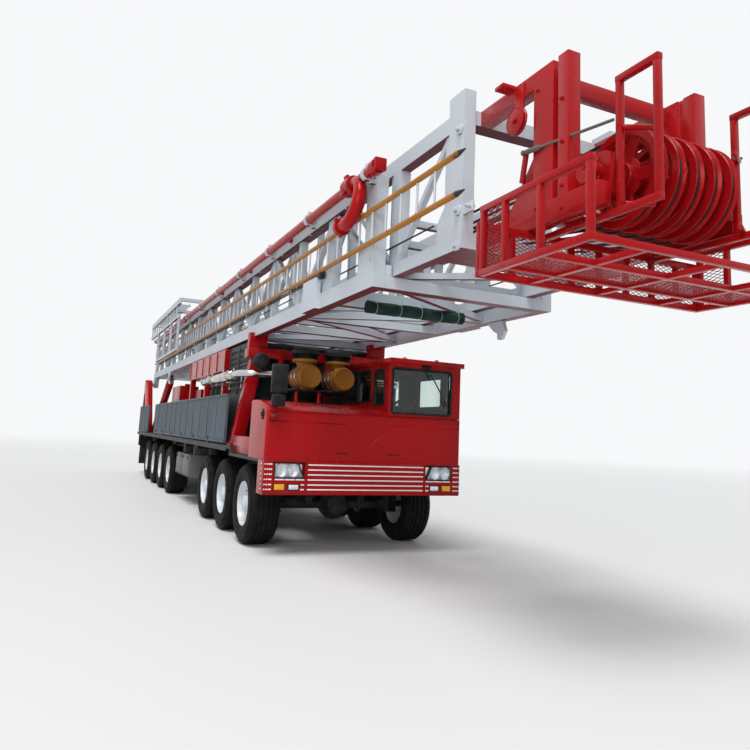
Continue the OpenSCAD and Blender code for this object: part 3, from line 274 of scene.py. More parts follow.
def enamel(name, colour, rough, dust=0.25, coat=0.0, wear=None, drift=0.1, dust_colour=(0.32, 0.29, 0.26)):
    """Sprayed enamel: colour drift, fine ripple, dust that settles on top, rubbed edges."""
    made = new_finish(name, colour, rough, coat=coat)
    shade = ramp(made, cloud(made, 0.9, 4), 0.3, 0.7, 1 - drift, 1 + drift)
    tone = mixed(made, 1.0, colour, shade, "MULTIPLY")
    speckle = ramp(made, cloud(made, 5, 8), 0.45, 0.75, 0, 1)
    upward = ramp(made, part_of(made, "Normal", 2), 0.2, 1, 0.25, 1)
    settled = sum_of(made, "MULTIPLY", sum_of(made, "MULTIPLY", speckle, upward), dust)
    tone = mixed(made, settled, tone, dust_colour)
    if wear:
        tone = mixed(made, rubbed(made, 0.006), tone, wear)
    set_colour(made, tone)
    set_rough(
        made,
        sum_of(
            made, "ADD", ramp(made, cloud(made, 12, 5), 0.3, 0.7, rough - 0.04, rough + 0.08),
            sum_of(made, "MULTIPLY", settled, 0.6),
        ),
    )
    set_bumps(made, (cloud(made, 1.7, 2), 0.006), (cloud(made, 260, 2), 0.0003), soft_edge=0.005)
    return made


def dress(finish, *names):
    """Gives CAD nodes their finish through their own material slots."""
    for name in names:
        mesh = nodes[name].data
        mesh.materials.clear()
        mesh.materials.append(finish)


chassis_black = enamel("chassis black", (0.018, 0.018, 0.02), 0.42, dust=0.5, wear=(0.09, 0.085, 0.08))
dress(chassis_black, "chassis_frame", "axles")
for axle in (1, 2, 3):
    for side in ("right", "left"):
        dress(chassis_black, f"knuckle_{axle}_{side}")

# The levelling jacks' legs and feet: hard chromed tube in the frame's sleeves,
# with a thin film of oil.
jack_chrome = new_finish("jack chrome", (0.72, 0.72, 0.73), 0.16, metal=1.0)
set_rough(jack_chrome, ramp(jack_chrome, cloud(jack_chrome, 30, 4, (1, 1, 0.05)), 0.3, 0.7, 0.1, 0.28))
set_bumps(jack_chrome, (cloud(jack_chrome, 90, 3, (1, 1, 0.02)), 0.0002), soft_edge=0.004)
dress(jack_chrome, "jacks_front", "jacks_rear", "raising_rods")


# Fourteen wide single tyres with ribbed treads and blocked shoulders, on
# white painted disc wheels with hand holes, a hub and ten nuts.
def deselect():
    bpy.ops.object.select_all(action="DESELECT")


def take(piece):
    """Selects one piece alone and makes it the active one."""
    deselect()
    piece.select_set(True)
    bpy.context.view_layer.objects.active = piece


def pick(piece, faces=None, edges=None):
    """Selects the faces or edges that a test accepts, and leaves them chosen for edit mode."""
    mesh = piece.data
    mesh.polygons.foreach_set("select", [False] * len(mesh.polygons))
    mesh.edges.foreach_set("select", [False] * len(mesh.edges))
    mesh.vertices.foreach_set("select", [False] * len(mesh.vertices))
    if faces:
        for face in mesh.polygons:
            face.select = bool(faces(face.center, face.normal))
    if edges:
        for edge in mesh.edges:
            ends = [mesh.vertices[i].co for i in edge.vertices]
            edge.select = bool(edges(ends[0], ends[1]))
    bpy.ops.object.mode_set(mode="EDIT")
    bpy.ops.mesh.select_mode(type="FACE" if faces else "EDGE")


def done():
    bpy.ops.object.mode_set(mode="OBJECT")


def lathe(profile, steps=72):
    """Turns a profile of (radius, place along Y) round the Y axis, at the origin."""
    closed = profile[0] == profile[-1]
    points = profile[:-1] if closed else profile
    mesh = bpy.data.meshes.new("turned")
    links = [(i, i + 1) for i in range(len(points) - 1)] + ([(len(points) - 1, 0)] if closed else [])
    mesh.from_pydata([(r, y, 0) for r, y in points], links, [])
    piece = bpy.data.objects.new("turned", mesh)
    bpy.context.scene.collection.objects.link(piece)
    take(piece)
    bpy.ops.object.mode_set(mode="EDIT")
    bpy.ops.mesh.select_all(action="SELECT")
    bpy.ops.mesh.spin(steps=steps, angle=2 * math.pi, center=(0, 0, 0), axis=(0, 1, 0))
    bpy.ops.mesh.select_all(action="SELECT")
    bpy.ops.mesh.remove_doubles(threshold=0.00005)
    bpy.ops.mesh.normals_make_consistent(inside=False)
    done()
    return piece


def put(piece, at, turn=0, axis="Z"):
    """Puts a mesh at its place, turned first by so many degrees about one axis."""
    piece.data.transform(Matrix.Translation(at) @ Matrix.Rotation(math.radians(turn), 4, axis))
    return piece


def joined(*pieces):
    deselect()
    for piece in pieces:
        piece.select_set(True)
    bpy.context.view_layer.objects.active = pieces[0]
    if len(pieces) > 1:
        bpy.ops.object.join()
    return pieces[0]


def repeated(model, turns):
    """A modelled piece copied to each place, each copy with its own mesh, then joined."""
    copies = []
    for turn in turns:
        copy = model.copy()
        copy.data = model.data.copy()
        copy.data.transform(turn)
        bpy.context.scene.collection.objects.link(copy)
        copies.append(copy)
    bpy.data.objects.remove(model)
    return joined(*copies)


def rod(a, b, d, sides=20, edge=0.0):
    """A round bar from a to b, its two ends eased by edge."""
    a, b = Vector(a), Vector(b)
    deselect()
    bpy.ops.mesh.primitive_cylinder_add(vertices=sides, radius=d / 2, depth=(b - a).length)
    bar = bpy.context.object
    if edge:
        pick(bar, faces=lambda c, n: abs(n.z) > 0.9)
        bpy.ops.mesh.region_to_loop()
        bpy.ops.mesh.bevel(offset=edge, segments=2, affect="EDGES")
        done()
    bar.data.transform(
        Matrix.Translation((a + b) / 2) @ (b - a).to_track_quat("Z", "Y").to_matrix().to_4x4()
    )
    return bar


def finished(piece, name, body, slot, finish, *stands_for, smooth=35):
    """Sets the place into the mesh, and gives the piece, or several as one, name, finish and body."""
    if isinstance(piece, list):
        piece = joined(*piece)
    take(piece)
    bpy.ops.object.transform_apply(location=True, rotation=True, scale=True)
    bpy.ops.object.shade_smooth_by_angle(angle=math.radians(smooth))
    piece.name = name
    piece.data.materials.clear()
    piece.data.materials.append(finish)
    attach(piece, body)
    if stands_for:
        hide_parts(*stands_for)
    return piece


tyre_rubber = new_finish("tyre rubber", (0.009, 0.009, 0.01), 0.72)
road_dust = ramp(tyre_rubber, cloud(tyre_rubber, 7, 7), 0.42, 0.7, 0, 0.55)
set_colour(tyre_rubber, mixed(tyre_rubber, road_dust, (0.0075, 0.0075, 0.008), (0.026, 0.023, 0.021)))
set_rough(tyre_rubber, ramp(tyre_rubber, cloud(tyre_rubber, 20, 5), 0.3, 0.7, 0.6, 0.85))
set_bumps(tyre_rubber, (cloud(tyre_rubber, 320, 3), 0.0006))
rim_white = enamel(
    "wheel white", (0.68, 0.71, 0.74), 0.32, dust=0.25, dust_colour=(0.25, 0.22, 0.2), coat=0.3
)

outer = (wheel_high[2] - wheel_low[2]) / 2
half = (wheel_high[1] - wheel_low[1]) / 2
seat_r = 0.31
grooves = [-0.11, -0.037, 0.037, 0.11]
crown = []
for at in grooves:
    crown += [
        (outer, at - 0.012), (outer - 0.016, at - 0.007), (outer - 0.016, at + 0.007), (outer, at + 0.012)
    ]
shoulder = [
    (outer - 0.001, 0.15), (outer - 0.004, 0.175), (outer - 0.022, 0.2), (outer - 0.055, half - 0.006)
]
wall = [
    (outer - 0.1, half), (outer - 0.15, half - 0.003), (outer - 0.156, half + 0.002), (outer - 0.175, half),
    (outer - 0.2, half - 0.008), (seat_r + 0.03, half - 0.022), (seat_r + 0.008, half - 0.032),
    (seat_r, half - 0.05),
]
section = [(r, -y) for r, y in reversed(shoulder + wall)] + crown + shoulder + wall
tyre = lathe(section + [section[0]], steps=96)
pick(tyre, faces=lambda c, n: 0.152 < abs(c.y) < half - 0.004 and math.hypot(c.x, c.z) > outer - 0.07
     and int((math.atan2(c.z, c.x) / math.pi + 1) * 48 + (1 if c.y > 0 else 0)) % 2 == 0)
bpy.ops.mesh.extrude_region_shrink_fatten(
    MESH_OT_extrude_region={"use_normal_flip": False}, TRANSFORM_OT_shrink_fatten={"value": -0.009})
done()
pick(tyre, faces=lambda c, n: math.hypot(c.x, c.z) > outer - 0.0009 and 0.04 < abs(c.y) < 0.1
     and int((math.atan2(c.z, c.x) / math.pi + 1) * 48) % 3 == 0)
bpy.ops.mesh.extrude_region_shrink_fatten(
    MESH_OT_extrude_region={"use_normal_flip": False}, TRANSFORM_OT_shrink_fatten={"value": -0.008})
done()

disc = lathe(
    [
        (seat_r + 0.012, half - 0.03), (seat_r + 0.006, half - 0.022), (seat_r - 0.006, half - 0.024),
        (seat_r - 0.014, half - 0.05), (seat_r - 0.02, half - 0.085), (seat_r - 0.05, half - 0.125),
        (seat_r - 0.085, half - 0.13), (0.19, half - 0.108), (0.155, half - 0.108), (0.135, half - 0.112),
        (0.132, half - 0.108), (0.118, half - 0.1), (0.112, half - 0.045), (0.098, half - 0.036),
        (0.04, half - 0.034), (0.036, half - 0.026), (0, half - 0.024),
    ],
    steps=60,
)
back_disc = lathe(
    [
        (seat_r, -half + 0.045), (seat_r - 0.012, -half + 0.06), (seat_r - 0.03, -half + 0.15),
        (seat_r - 0.034, half - 0.13), (seat_r - 0.06, half - 0.145), (0.14, half - 0.122),
        (0.05, half - 0.12),
    ],
    steps=48,
)
nut = rod((0.155, half - 0.112, 0), (0.155, half - 0.082, 0), 0.034, sides=6, edge=0.003)
stud = rod((0.155, half - 0.084, 0), (0.155, half - 0.07, 0), 0.018, sides=10, edge=0.002)
nuts = repeated(joined(nut, stud), [Matrix.Rotation(math.radians(36 * k), 4, "Y") for k in range(10)])
hole_edge = lathe([(0.03, -0.004), (0.03, 0.004), (0.02, 0.004), (0.018, -0.03), (0.0, -0.03)], steps=20)
put(hole_edge, (seat_r - 0.082, half - 0.124, 0))
hand_holes = repeated(hole_edge, [Matrix.Rotation(math.radians(36 * k + 18), 4, "Y") for k in range(10)])
valve = rod(
    (seat_r - 0.05, half - 0.13, 0), (seat_r - 0.075, half - 0.05, 0.02), 0.012, sides=10, edge=0.002
)
wheel = joined(disc, back_disc, nuts, valve)
# The hand holes are shallow cups coloured near-black: painted shade for the dark seen through the openings.
hole_shade = new_finish("wheel opening painted shade", (0.01, 0.01, 0.01), 0.8)
set_colour(
    hole_shade, mixed(hole_shade, cloud(hole_shade, 20), (0.006, 0.006, 0.006), (0.02, 0.018, 0.016))
)

for axle in range(1, 8):
    for side, sign in (("right", -1), ("left", 1)):
        low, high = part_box(f"wheel_{axle}_{side}")
        middle = [(a + b) / 2 for a, b in zip(low, high)]
        turn = Matrix.Translation(middle) @ Matrix.Rotation(math.pi if sign < 0 else 0, 4, "Z")
        turn = turn @ Matrix.Rotation(math.radians(13 * axle + (7 if sign > 0 else 0)), 4, "Y")
        for model, name, slot, finish in (
            (tyre, "tyre", "rubber_tyre", tyre_rubber),
            (wheel, "rim", "white_paint", rim_white),
            (hand_holes, "rim_holes", "dark_paint", hole_shade),
        ):
            copy = model.copy()
            copy.data = model.data.copy()
            copy.data.transform(turn)
            bpy.context.scene.collection.objects.link(copy)
            finished(copy, f"{name}_{axle}_{side}", f"wheel_{axle}_{side}_body", slot, finish,
                     *([f"wheel_{axle}_{side}"] if name == "tyre" else []))
for model in (tyre, wheel, hand_holes):
    bpy.data.objects.remove(model)

# The nose: one pressed sheet shell with rounded front corners, a V crease over
# its whole width and two short slots, welded on under the driver's window.
def shaped(points, along, low, high):
    """A flat outline given as corner points, extruded from low to high along x, y or z."""
    deselect()
    bpy.ops.mesh.primitive_circle_add(vertices=len(points), fill_type="NGON")
    piece = bpy.context.object
    for vertex, (u, v) in zip(piece.data.vertices, points):
        vertex.co = {"x": (low, u, v), "y": (u, low, v), "z": (u, v, low)}[along]
    bpy.ops.object.mode_set(mode="EDIT")
    bpy.ops.mesh.select_all(action="SELECT")
    step = {"x": (high - low, 0, 0), "y": (0, high - low, 0), "z": (0, 0, high - low)}[along]
    bpy.ops.mesh.extrude_region_move(TRANSFORM_OT_translate={"value": step})
    bpy.ops.mesh.select_all(action="SELECT")
    bpy.ops.mesh.normals_make_consistent(inside=False)
    done()
    return piece


def eased(piece, size, steps=2, edges=None, angle=30):
    """Rounds the edges that a test accepts, or every sharp one."""
    if edges:
        pick(piece, edges=edges)
        bpy.ops.mesh.bevel(offset=size, segments=steps, affect="EDGES")
        done()
        return piece
    take(piece)
    bevel = piece.modifiers.new("eased", "BEVEL")
    bevel.width = size
    bevel.segments = steps
    bevel.angle_limit = math.radians(angle)
    bpy.ops.object.modifier_apply(modifier="eased")
    return piece


def with_other(piece, other, operation):
    """Welds another piece on, or cuts it out, and takes it away."""
    weld = piece.modifiers.new("weld", "BOOLEAN")
    weld.operation = operation
    weld.solver = "EXACT"
    weld.object = other
    take(piece)
    bpy.ops.object.modifier_apply(modifier="weld")
    bpy.data.objects.remove(other)


def about(middle, half):
    """A span with its middle and its half width."""
    return middle - half, middle + half


def on_side(sign, a, b):
    """Two distances out from the middle plane as a span of Y, on the side that sign gives."""
    return sorted((sign * a, sign * b))


def bar(x, y, z, edge=0.004, steps=2):
    """A bar between two coordinates on each axis, with eased edges."""
    deselect()
    bpy.ops.mesh.primitive_cube_add(
        size=1, location=((x[0] + x[1]) / 2, (y[0] + y[1]) / 2, (z[0] + z[1]) / 2),
        scale=(x[1] - x[0], y[1] - y[0], z[1] - z[0]))
    piece = bpy.context.object
    bpy.ops.object.transform_apply(location=True, rotation=True, scale=True)
    if edge:
        bpy.ops.object.mode_set(mode="EDIT")
        bpy.ops.mesh.select_all(action="SELECT")
        bpy.ops.mesh.bevel(offset=edge, segments=steps, affect="EDGES")
        done()
    return piece


red_enamel = enamel(
    "carrier red", (0.35, 0.005, 0.007), 0.22, dust=0.07, coat=0.05, wear=(0.16, 0.012, 0.012), drift=0.1,
    dust_colour=(0.3, 0.1, 0.09),
)
red_enamel.node_tree.nodes["Principled BSDF"].inputs["Specular IOR Level"].default_value = 0.32
red_enamel.node_tree.nodes["Principled BSDF"].inputs["Specular Tint"].default_value = (1, 0.28, 0.28, 1)
front = front_axle + 1.26
side = 1.5
nose_bottom, brow, cab_side = 1.27, 1.93, 0.29
side_view = [
    (front_axle + 0.42, nose_bottom), (front, nose_bottom), (front, brow), (front - 0.06, brow + 0.05),
    (front - 0.5, 2.07), (front_axle + 0.42, 2.085),
]
front_sheet = shaped(side_view, "y", -side, cab_side)
below_screen = bar((front - 0.09, front), (cab_side - 0.2, side), (nose_bottom, brow), edge=0)
with_other(front_sheet, below_screen, "UNION")
bpy.ops.object.mode_set(mode="EDIT")
bpy.ops.mesh.select_all(action="SELECT")
bpy.ops.mesh.dissolve_limited(angle_limit=math.radians(1))
done()
eased(front_sheet, 0.045, 5, edges=lambda a, b: abs(a.y + side) < 1e-4 and abs(b.y + side) < 1e-4
      and (min(a.z, b.z) > nose_bottom + 0.001 or min(a.x, b.x) > front - 0.001))
eased(front_sheet, 0.03, 4, edges=lambda a, b: abs(a.y - side) < 1e-4 and abs(b.y - side) < 1e-4
      and min(a.x, b.x) > front - 0.001)
eased(front_sheet, 0.018, 3, edges=lambda a, b: min(a.x, b.x) > front - 1e-3 and min(a.z, b.z) > brow - 0.02
      and abs(a.y - b.y) > 0.5)
crease_z, apex_z, crease_y = 1.777, 1.473, 0.37
for point, normal in (
    ((0, 0, crease_z), (0, 0, 1)),
    ((0, 0, apex_z), (0, crease_z - apex_z, crease_y)),
    ((0, 0, apex_z), (0, apex_z - crease_z, crease_y)),
    ((0, -crease_y, 0), (0, 1, 0)),
    ((0, crease_y, 0), (0, 1, 0)),
):
    pick(front_sheet, faces=lambda c, n: n.x > 0.95 and c.x > front - 0.004)
    bpy.ops.mesh.bisect(plane_co=point, plane_no=normal)
    done()


def above_crease(c):
    if abs(c.y) > crease_y - 0.001:
        return c.z > crease_z
    return c.z > apex_z + abs(c.y) * (crease_z - apex_z) / crease_y


pick(front_sheet, faces=lambda c, n: n.x > 0.95 and c.x > front - 0.004 and above_crease(c))
bpy.ops.mesh.inset(thickness=0.014, depth=-0.022, use_even_offset=False)
done()
nose_seams = []
for y in (-0.401, 0.379):
    nose_seams.append(eased(
        shaped(
            [(y - 0.095, 1.38), (y + 0.095, 1.372), (y + 0.1, 1.386), (y - 0.09, 1.394)], "x", front - 0.02,
            front + 0.004,
        ),
        0.002,
    ))
finished(front_sheet, "nose_sheet", "carrier", "red_paint", red_enamel, "nose", smooth=50)
trim_black = new_finish("black trim rubber", (0.014, 0.014, 0.015), 0.5)
set_colour(trim_black, mixed(trim_black, ramp(trim_black, cloud(trim_black, 9, 6), 0.4, 0.7, 0, 0.5),
                             (0.012, 0.012, 0.013), (0.045, 0.042, 0.04)))
set_bumps(trim_black, (cloud(trim_black, 400, 2), 0.0003))
finished(nose_seams, "nose_slots", "carrier", "cab_trim", trim_black)

# At the nose's right corner a round side lamp sits in a turned red ring, and
# the flap on the side has a black moulded grip.
ring = [
    (0.05, -0.012), (0.058, -0.006), (0.06, 0.012), (0.046, 0.02), (0.04, 0.012), (0.04, -0.012),
    (0.05, -0.012),
]
rim_ring = lathe(ring, 32)
put(rim_ring, (front + 0.01, -1.42, 1.86), -90, "Z")
finished(rim_ring, "corner_lamp_ring", "carrier", "red_paint", red_enamel)
corner_lens = lathe(
    [(0, 0.014), (0.02, 0.012), (0.036, 0.006), (0.041, -0.004), (0.041, -0.012), (0, -0.012)], 32
)
put(corner_lens, (front + 0.011, -1.42, 1.86), -90, "Z")
amber_lens = new_finish("amber lens", (0.85, 0.33, 0.01), 0.12, coat=0.4)
# Lighter yellow streaks along the lens ribs are painted glints of its facets; the same streaks give the
# ribs' bumps.
amber_ribs_and_glints = cloud(amber_lens, 60, 2, (1, 6, 0.4))
set_colour(amber_lens, mixed(amber_lens, amber_ribs_and_glints, (0.75, 0.26, 0.005), (0.95, 0.55, 0.03)))
set_bumps(amber_lens, (amber_ribs_and_glints, 0.002))
side_lens = enamel("side lamp red", (0.22, 0.004, 0.005), 0.06, dust=0.02, coat=1.0)
finished(corner_lens, "corner_lamp_lens", "carrier", "red_paint", side_lens)
grip = joined(
    bar((front_axle + 1.02, front_axle + 1.1), (-side - 0.012, -side + 0.02), (1.8, 1.94), 0.004),
    bar((front_axle + 1.035, front_axle + 1.085), (-side - 0.03, -side - 0.008), (1.84, 1.9), 0.006),
)
finished(grip, "nose_latch", "carrier", "cab_trim", trim_black)

# The lamp panel: a deep folded bumper in red with six bright strips, broken up
# beyond the lamps, and a framed lamp unit at each end.
panel_face = front + 0.01
bumper = bar((front_axle + 0.95, panel_face), (-side, side), (0.81, nose_bottom - 0.001), edge=0)
pick(bumper, faces=lambda c, n: n.z < -0.9)
bpy.ops.mesh.inset(thickness=0.035, depth=-0.3)
done()
eased(bumper, 0.012, 3)
for sign in (-1, 1):
    for y0, y1, z0, z1 in (
        (0.925, 1.362, 1.028, 1.243), (0.99, 1.165, 0.872, 0.968), (1.192, 1.36, 0.872, 0.968)
    ):
        opening = bar(about(panel_face, 0.075), on_side(sign, y0, y1), (z0, z1), 0)
        with_other(bumper, opening, "DIFFERENCE")
finished(bumper, "lamp_panel_sheet", "carrier", "red_paint", red_enamel, "lamp_panel")
strip_white = enamel("strip white", (0.86, 0.84, 0.84), 0.3, dust=0.2, drift=0.04)
strips = []
for z in (0.889, 0.951, 1.018, 1.085, 1.15, 1.217):
    strips.append(bar((panel_face - 0.004, panel_face + 0.007), (-0.885, 0.885), about(z, 0.0085), 0.003))
    for sign in (-1, 1):
        dashes = [(1.388, 1.43), (1.44, 1.463), (1.474, 1.492)]
        if z < 1.0:
            dashes.append((0.93, 0.98))
        if 0.97 < z < 1.03:
            dashes += [(0.93, 1.05), (1.06, 1.2), (1.21, 1.34)]
        for a, b in dashes:
            strips.append(bar((panel_face - 0.004, panel_face + 0.007), on_side(sign, a, b),
                              about(z, 0.0085), 0.003))
        strips.append(bar((front - 0.12, front - 0.1), on_side(sign, side - 0.004, side + 0.006),
                          about(z, 0.0085), 0.003))
finished(strips, "panel_strips", "carrier", "white_paint", strip_white)

# Each unit has a framed double headlamp with a slanted inner end, over a clear
# fog lamp and an amber indicator: pressed reflectors behind ribbed lenses.
reflector = new_finish("lamp reflector", (0.8, 0.82, 0.84), 0.14, metal=0.7)
set_rough(reflector, ramp(reflector, cloud(reflector, 60, 3), 0.3, 0.7, 0.05, 0.2))
set_bumps(reflector, (cloud(reflector, 35, 2, (1, 3, 0.3)), 0.006))
clear_lens = new_finish("ribbed clear lens", (0.9, 0.93, 0.95), 0.04)
clear_lens.node_tree.nodes["Principled BSDF"].inputs["Transmission Weight"].default_value = 0.92
clear_lens.node_tree.nodes["Principled BSDF"].inputs["IOR"].default_value = 1.08
set_rough(clear_lens, ramp(clear_lens, cloud(clear_lens, 30, 3), 0.3, 0.7, 0.02, 0.12))
set_bumps(clear_lens, (cloud(clear_lens, 70, 1, (1, 2.5, 0.2)), 0.003))
frames, lenses, bowls, ambers = [], [], [], []
for sign in (-1, 1):
    for z in (0.843, 1.251):
        frames.append(bar(about(panel_face, 0.003), on_side(sign, 0.898, 1.496), about(z, 0.003), 0.001))
    for y in (0.9, 1.494):
        frames.append(bar(
            about(panel_face, 0.003), on_side(sign, y - 0.003, y + 0.003), (0.843, 1.251), 0.001
        ))
    ring = [(1.356, 1.034), (1.356, 1.237), (1.02, 1.237), (0.932, 1.034)]
    frame_ring = shaped([(sign * y, z) for y, z in ring], "x", panel_face - 0.07, panel_face + 0.006)
    pick(frame_ring, faces=lambda c, n: n.x > 0.9)
    bpy.ops.mesh.inset(thickness=0.01, depth=0)
    bpy.ops.mesh.extrude_region_move(TRANSFORM_OT_translate={"value": (-0.067, 0, 0)})
    done()
    frames.append(eased(frame_ring, 0.002))
    inner = [(1.345, 1.045), (1.345, 1.226), (1.026, 1.226), (0.946, 1.045)]
    lenses.append(eased(
        shaped([(sign * y, z) for y, z in inner], "x", panel_face - 0.004, panel_face + 0.004), 0.003
    ))
    for middle in (1.25, 1.09):
        bowl = lathe(
            [
                (0.02, 0), (0.02, 0.012), (0.045, 0.016), (0.07, 0.032), (0.083, 0.05), (0.088, 0.05),
                (0.07, 0.025), (0, -0.006),
            ],
            36,
        )
        bowl.data.transform(
            Matrix.Translation((
                panel_face - 0.058, sign * middle, 1.137
            )) @ Matrix.Rotation(math.radians(-90), 4, "Z") @ Matrix.Diagonal((0.88, 1, 1, 1))
        )
        bowls.append(bowl)
        bulb = lathe([(0, 0.03), (0.012, 0.028), (0.016, 0.018), (0.016, 0), (0, -0.004)], 16)
        put(bulb, (panel_face - 0.055, sign * middle, 1.137), -90, "Z")
        bowls.append(bulb)
    bowls.append(bar(
        (panel_face - 0.06, panel_face - 0.056), on_side(sign, 0.95, 1.34), (1.05, 1.22), 0.002
    ))
    for y0, y1, pieces in ((0.996, 1.158, lenses), (1.198, 1.354, ambers)):
        span = on_side(sign, y0, y1)
        pieces.append(bar(
            (panel_face - 0.01, panel_face + 0.006), (span[0] + 0.008, span[1] - 0.008), (0.882, 0.958),
            0.006, 3,
        ))
        frames.append(bar((panel_face - 0.03, panel_face + 0.001), span, (0.876, 0.964), 0.003))
        bowls.append(bar(
            (panel_face - 0.012, panel_face + 0.002), (span[0] + 0.014, span[1] - 0.014), (0.888, 0.952),
            0.004,
        ))
finished(frames, "lamp_frames", "carrier", "cab_trim", trim_black)
finished(bowls, "lamp_reflectors", "carrier", "bare_steel", reflector)
finished(lenses, "lamp_lenses", "carrier", "cab_glazing", clear_lens)
finished(ambers, "lamp_indicators", "carrier", "cab_trim", amber_lens)

# The driver's cab: folded red sheet welded up over a tube frame, with flanged
# roof edges, a visor lip over the screen and a rain gutter over the door.
def softened(name, size, steps=2, merge=0.0002):
    """A copy of a CAD node's mesh, merged and with its sharp edges rounded."""
    piece = nodes[name].copy()
    piece.data = nodes[name].data.copy()
    piece.parent = None
    piece.matrix_world = Matrix.Identity(4)
    bpy.context.scene.collection.objects.link(piece)
    piece.hide_render = False
    take(piece)
    bpy.ops.object.mode_set(mode="EDIT")
    bpy.ops.mesh.select_all(action="SELECT")
    bpy.ops.mesh.remove_doubles(threshold=merge)
    bpy.ops.mesh.dissolve_limited(angle_limit=math.radians(1))
    done()
    return eased(piece, size, steps, angle=40)


cab_sheet = softened("cab_shell", 0.012, 3)
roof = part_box("cab_shell")[1][2]
cab_back, cab_front = front_axle - 0.42, front - 0.03
gutter = [
    bar((front_axle - 0.2, front_axle + 0.86), (side, side + 0.022), (2.7, 2.712), 0.002),
    bar((front_axle - 0.2, front_axle + 0.86), (side + 0.016, side + 0.024), (2.7, 2.73), 0.002),
    bar(
        (front - 0.02, front + 0.062), (cab_side - 0.018, side + 0.008), (roof - 0.066, roof - 0.038), 0.006
    ),
    bar((cab_back - 0.02, front + 0.06), (side + 0.002, side + 0.012), (roof - 0.07, roof - 0.002), 0.004),
    bar(
        (cab_back - 0.02, front + 0.06), (cab_side - 0.024, cab_side - 0.014), (roof - 0.07, roof - 0.002),
        0.004,
    ),
    bar(
        (cab_back + 0.08, cab_front - 0.1), (cab_side + 0.28, cab_side + 0.3), (roof - 0.002, roof + 0.008),
        0.003,
    ),
    bar((cab_back + 0.08, cab_front - 0.1), (side - 0.3, side - 0.28), (roof - 0.002, roof + 0.008), 0.003),
]
finished(
    joined(cab_sheet, *gutter), "cab_sheet", "carrier", "red_paint", red_enamel, "cab_shell", smooth=40
)
lining = enamel("cab lining", (0.05, 0.052, 0.056), 0.75, dust=0.1)
cab_sheet.data.materials.append(lining)
for face in cab_sheet.data.polygons:
    at = face.center
    between_walls = cab_back + 0.02 < at.x < cab_front - 0.012 and cab_side + 0.02 < at.y < side - 0.02
    if between_walls and at.z < roof - 0.03:
        face.material_index = 1

# Window seals are one-piece black rubber sections pushed over the cut edges of
# the sheet, with the safety glass held in their inner lip.
def window_seal(u, v, face, facing, depth, width=0.035, corner=0.06):
    """A rubber frame round an opening u by v on a wall at face; facing is x or y."""
    outline = []
    for cu, cv, start in ((u[1] - corner, v[1] - corner, 0), (u[0] + corner, v[1] - corner, 90),
                          (u[0] + corner, v[0] + corner, 180), (u[1] - corner, v[0] + corner, 270)):
        for k in range(6):
            a = math.radians(start + 18 * k)
            outline.append((cu + corner * math.cos(a), cv + corner * math.sin(a)))
    seal = shaped(outline, facing, face - depth, face + depth)
    pick(seal, faces=lambda c, n: abs(n.x if facing == "x" else n.y) > 0.9)
    bpy.ops.mesh.inset(thickness=width, depth=0)
    bpy.ops.mesh.delete(type="FACE")
    bpy.ops.mesh.select_all(action="DESELECT")
    bpy.ops.mesh.select_mode(type="EDGE")
    bpy.ops.mesh.select_non_manifold()
    bpy.ops.mesh.bridge_edge_loops()
    bpy.ops.mesh.select_all(action="SELECT")
    bpy.ops.mesh.normals_make_consistent(inside=False)
    done()
    return eased(seal, 0.006, 2, angle=50)


seals = [
    window_seal((0.335, 1.355), (1.97, 2.655), cab_front + 0.001, "x", 0.012),
    window_seal((front_axle - 0.34, front_axle + 0.61), (2.14, 2.66), cab_side - 0.001, "y", 0.01, 0.03),
    window_seal((front_axle + 0.71, front_axle + 1.1), (2.09, 2.64), cab_side - 0.001, "y", 0.01, 0.03),
    window_seal((front_axle + 0.87, front_axle + 1.13), (2.14, 2.66), side + 0.001, "y", 0.01, 0.03),
    window_seal((cab_side + 0.19, side - 0.19), (2.14, 2.61), cab_back - 0.001, "x", 0.01, 0.03),
    bar((front_axle + 0.1, front_axle + 0.122), (cab_side - 0.006, cab_side + 0.028), (2.16, 2.64), 0.003),
]
finished(seals, "cab_window_seals", "carrier", "cab_trim", trim_black)
cab_glass = new_finish("cab glass", (0.82, 0.9, 0.88), 0.02)
cab_glass.node_tree.nodes["Principled BSDF"].inputs["Transmission Weight"].default_value = 1
cab_glass.node_tree.nodes["Principled BSDF"].inputs["IOR"].default_value = 1.12
cab_glass.node_tree.nodes["Principled BSDF"].inputs["Coat Weight"].default_value = 0.6
set_rough(cab_glass, ramp(cab_glass, cloud(cab_glass, 3, 5), 0.4, 0.8, 0.0, 0.1))
dress(cab_glass, "cab_glass")

# Inside: a sprung driver's seat, a moulded dash with instruments and a soft
# rimmed steering wheel on its column, all in one dark moulded finish.
dash_black = new_finish("moulded dash", (0.03, 0.03, 0.032), 0.55)
set_colour(
    dash_black, mixed(dash_black, cloud(dash_black, 4, 5), (0.024, 0.024, 0.026), (0.05, 0.05, 0.052))
)
set_bumps(dash_black, (cloud(dash_black, 500, 2), 0.0006), soft_edge=0.01)
dress(dash_black, "cab_interior")

